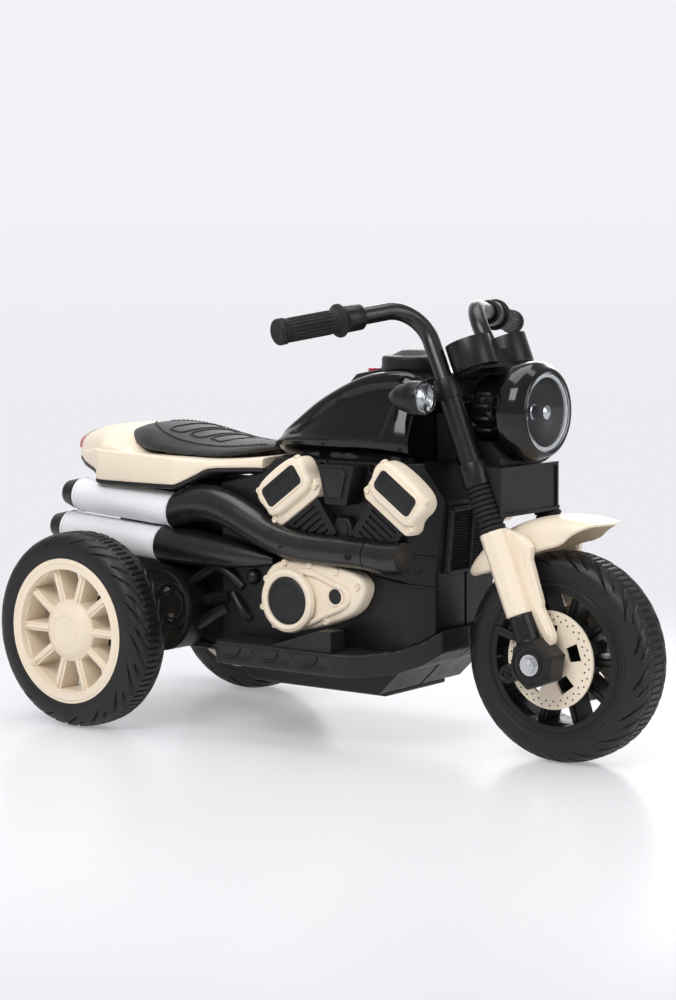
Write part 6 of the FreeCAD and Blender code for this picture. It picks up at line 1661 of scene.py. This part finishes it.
# Fork guards and carriers

GUARD_STATIONS = metres([
    # height on the leg, rear edge and front edge
    (146.5, 13, 18), (140, 12, 26.6), (131, 11.2, 33), (124, 10.8, 35.2), (113, 10, 29.8), (101, 9.4, 25),
    (88, 8.8, 23.2), (74.5, 8.6, 22.6), (60, 8.8, 23.4), (50.5, 9.6, 24.6), (36.5, 11, 26.4),
    (25.5, 13, 27.6), (19, 15.6, 25.8), (15, 18, 22.5), (14, 19.4, 20.4),
])
GUARD_SECTION_shares = [
    # across from the rear edge, and out from the inner face
    (0.0, 0.0), (0.0, 0.70), (0.05, 0.90), (0.14, 1.0), (0.5, 1.02), (0.86, 1.0), (0.95, 0.90), (1.0, 0.70),
    (1.0, 0.0),
]
GUARD_LINE_share = 0.6
GUARD_LINE = 0.0014
GUARD_LINE_RUN = slice(2, -3)
GUARD_BACK = 0.0468
GUARD_FACE = 0.0564
CARRIER_FACE = 0.0762
CARRIER_RINGS = metres([(22.5, 1.3), (15, 1)])
CALIPER_BACK = 0.046
CALIPER_FACE = 0.0582
CALIPER_BOLT_RADIUS = 0.0055


def make_fork_details():
    """Guard blades with a raised line, rings on the carriers and a bolt on each caliper boss."""
    pale = Sketch()
    dark = Sketch()
    for sign in SIDES.values():
        outward = ACROSS * sign
        rings = []
        line = []
        for height, rear, front in GUARD_STATIONS:
            ring = []
            for along, out in GUARD_SECTION_shares:
                across = GUARD_BACK + (GUARD_FACE - GUARD_BACK) * out
                ring.append(on_fork(rear + (front - rear) * along, sign * across, height))
            rings.append(ring)
            line.append(on_fork(rear + (front - rear) * GUARD_LINE_share, sign * GUARD_FACE, height))
        pale.grid(rings)
        pale.tube(smooth(line[GUARD_LINE_RUN], 5), GUARD_LINE)
        for radius, thick in CARRIER_RINGS:
            add_ring(dark, on_fork(0, sign * CARRIER_FACE, 0), outward, radius, thick)
        bolt = on_fork(-CALIPER_BACK, sign * CALIPER_FACE, 0)
        add_screw(dark, bolt, outward, CALIPER_BOLT_RADIUS, BOLT_STAND)
    pale.finish("fork_guard_blades", "cream", "steering")
    dark.finish("carrier_rings", "black_matte", "steering")


# Muffler bands

MUFFLER_FRONTS = metres([(-205, 265), (-227, 222)])
MUFFLER_OUT = 0.089
MUFFLER_RISE = math.radians(4)
MUFFLER_RADIUS = 0.021
MUFFLER_LENGTH = 0.160
BAND = 0.0012


def make_muffler_bands():
    """A fine raised band at both ends of every muffler."""
    form = Sketch()
    back = Vector((-math.cos(MUFFLER_RISE), 0, math.sin(MUFFLER_RISE)))
    for side in SIDES:
        for x, z in MUFFLER_FRONTS:
            for distance in (BAND * 3, MUFFLER_LENGTH - BAND * 3):
                add_ring(form, at_side(x, MUFFLER_OUT, z, side) + back * distance, back, MUFFLER_RADIUS, BAND)
    form.finish("muffler_bands", "silver_white", "chassis")


for make in (
    dress_frame, make_tyres, make_wheel_details, make_gaiters, make_tank, make_tail, make_seat, make_fender,
    make_screws, make_head_covers, make_engine_covers, make_engine_dress, make_side_forms, make_headlight,
    make_signals, make_grips, make_grille, make_mouldings, make_disc_hole_shade, make_fork_details,
    make_muffler_bands, make_stage, make_light, make_camera,
):
    make()
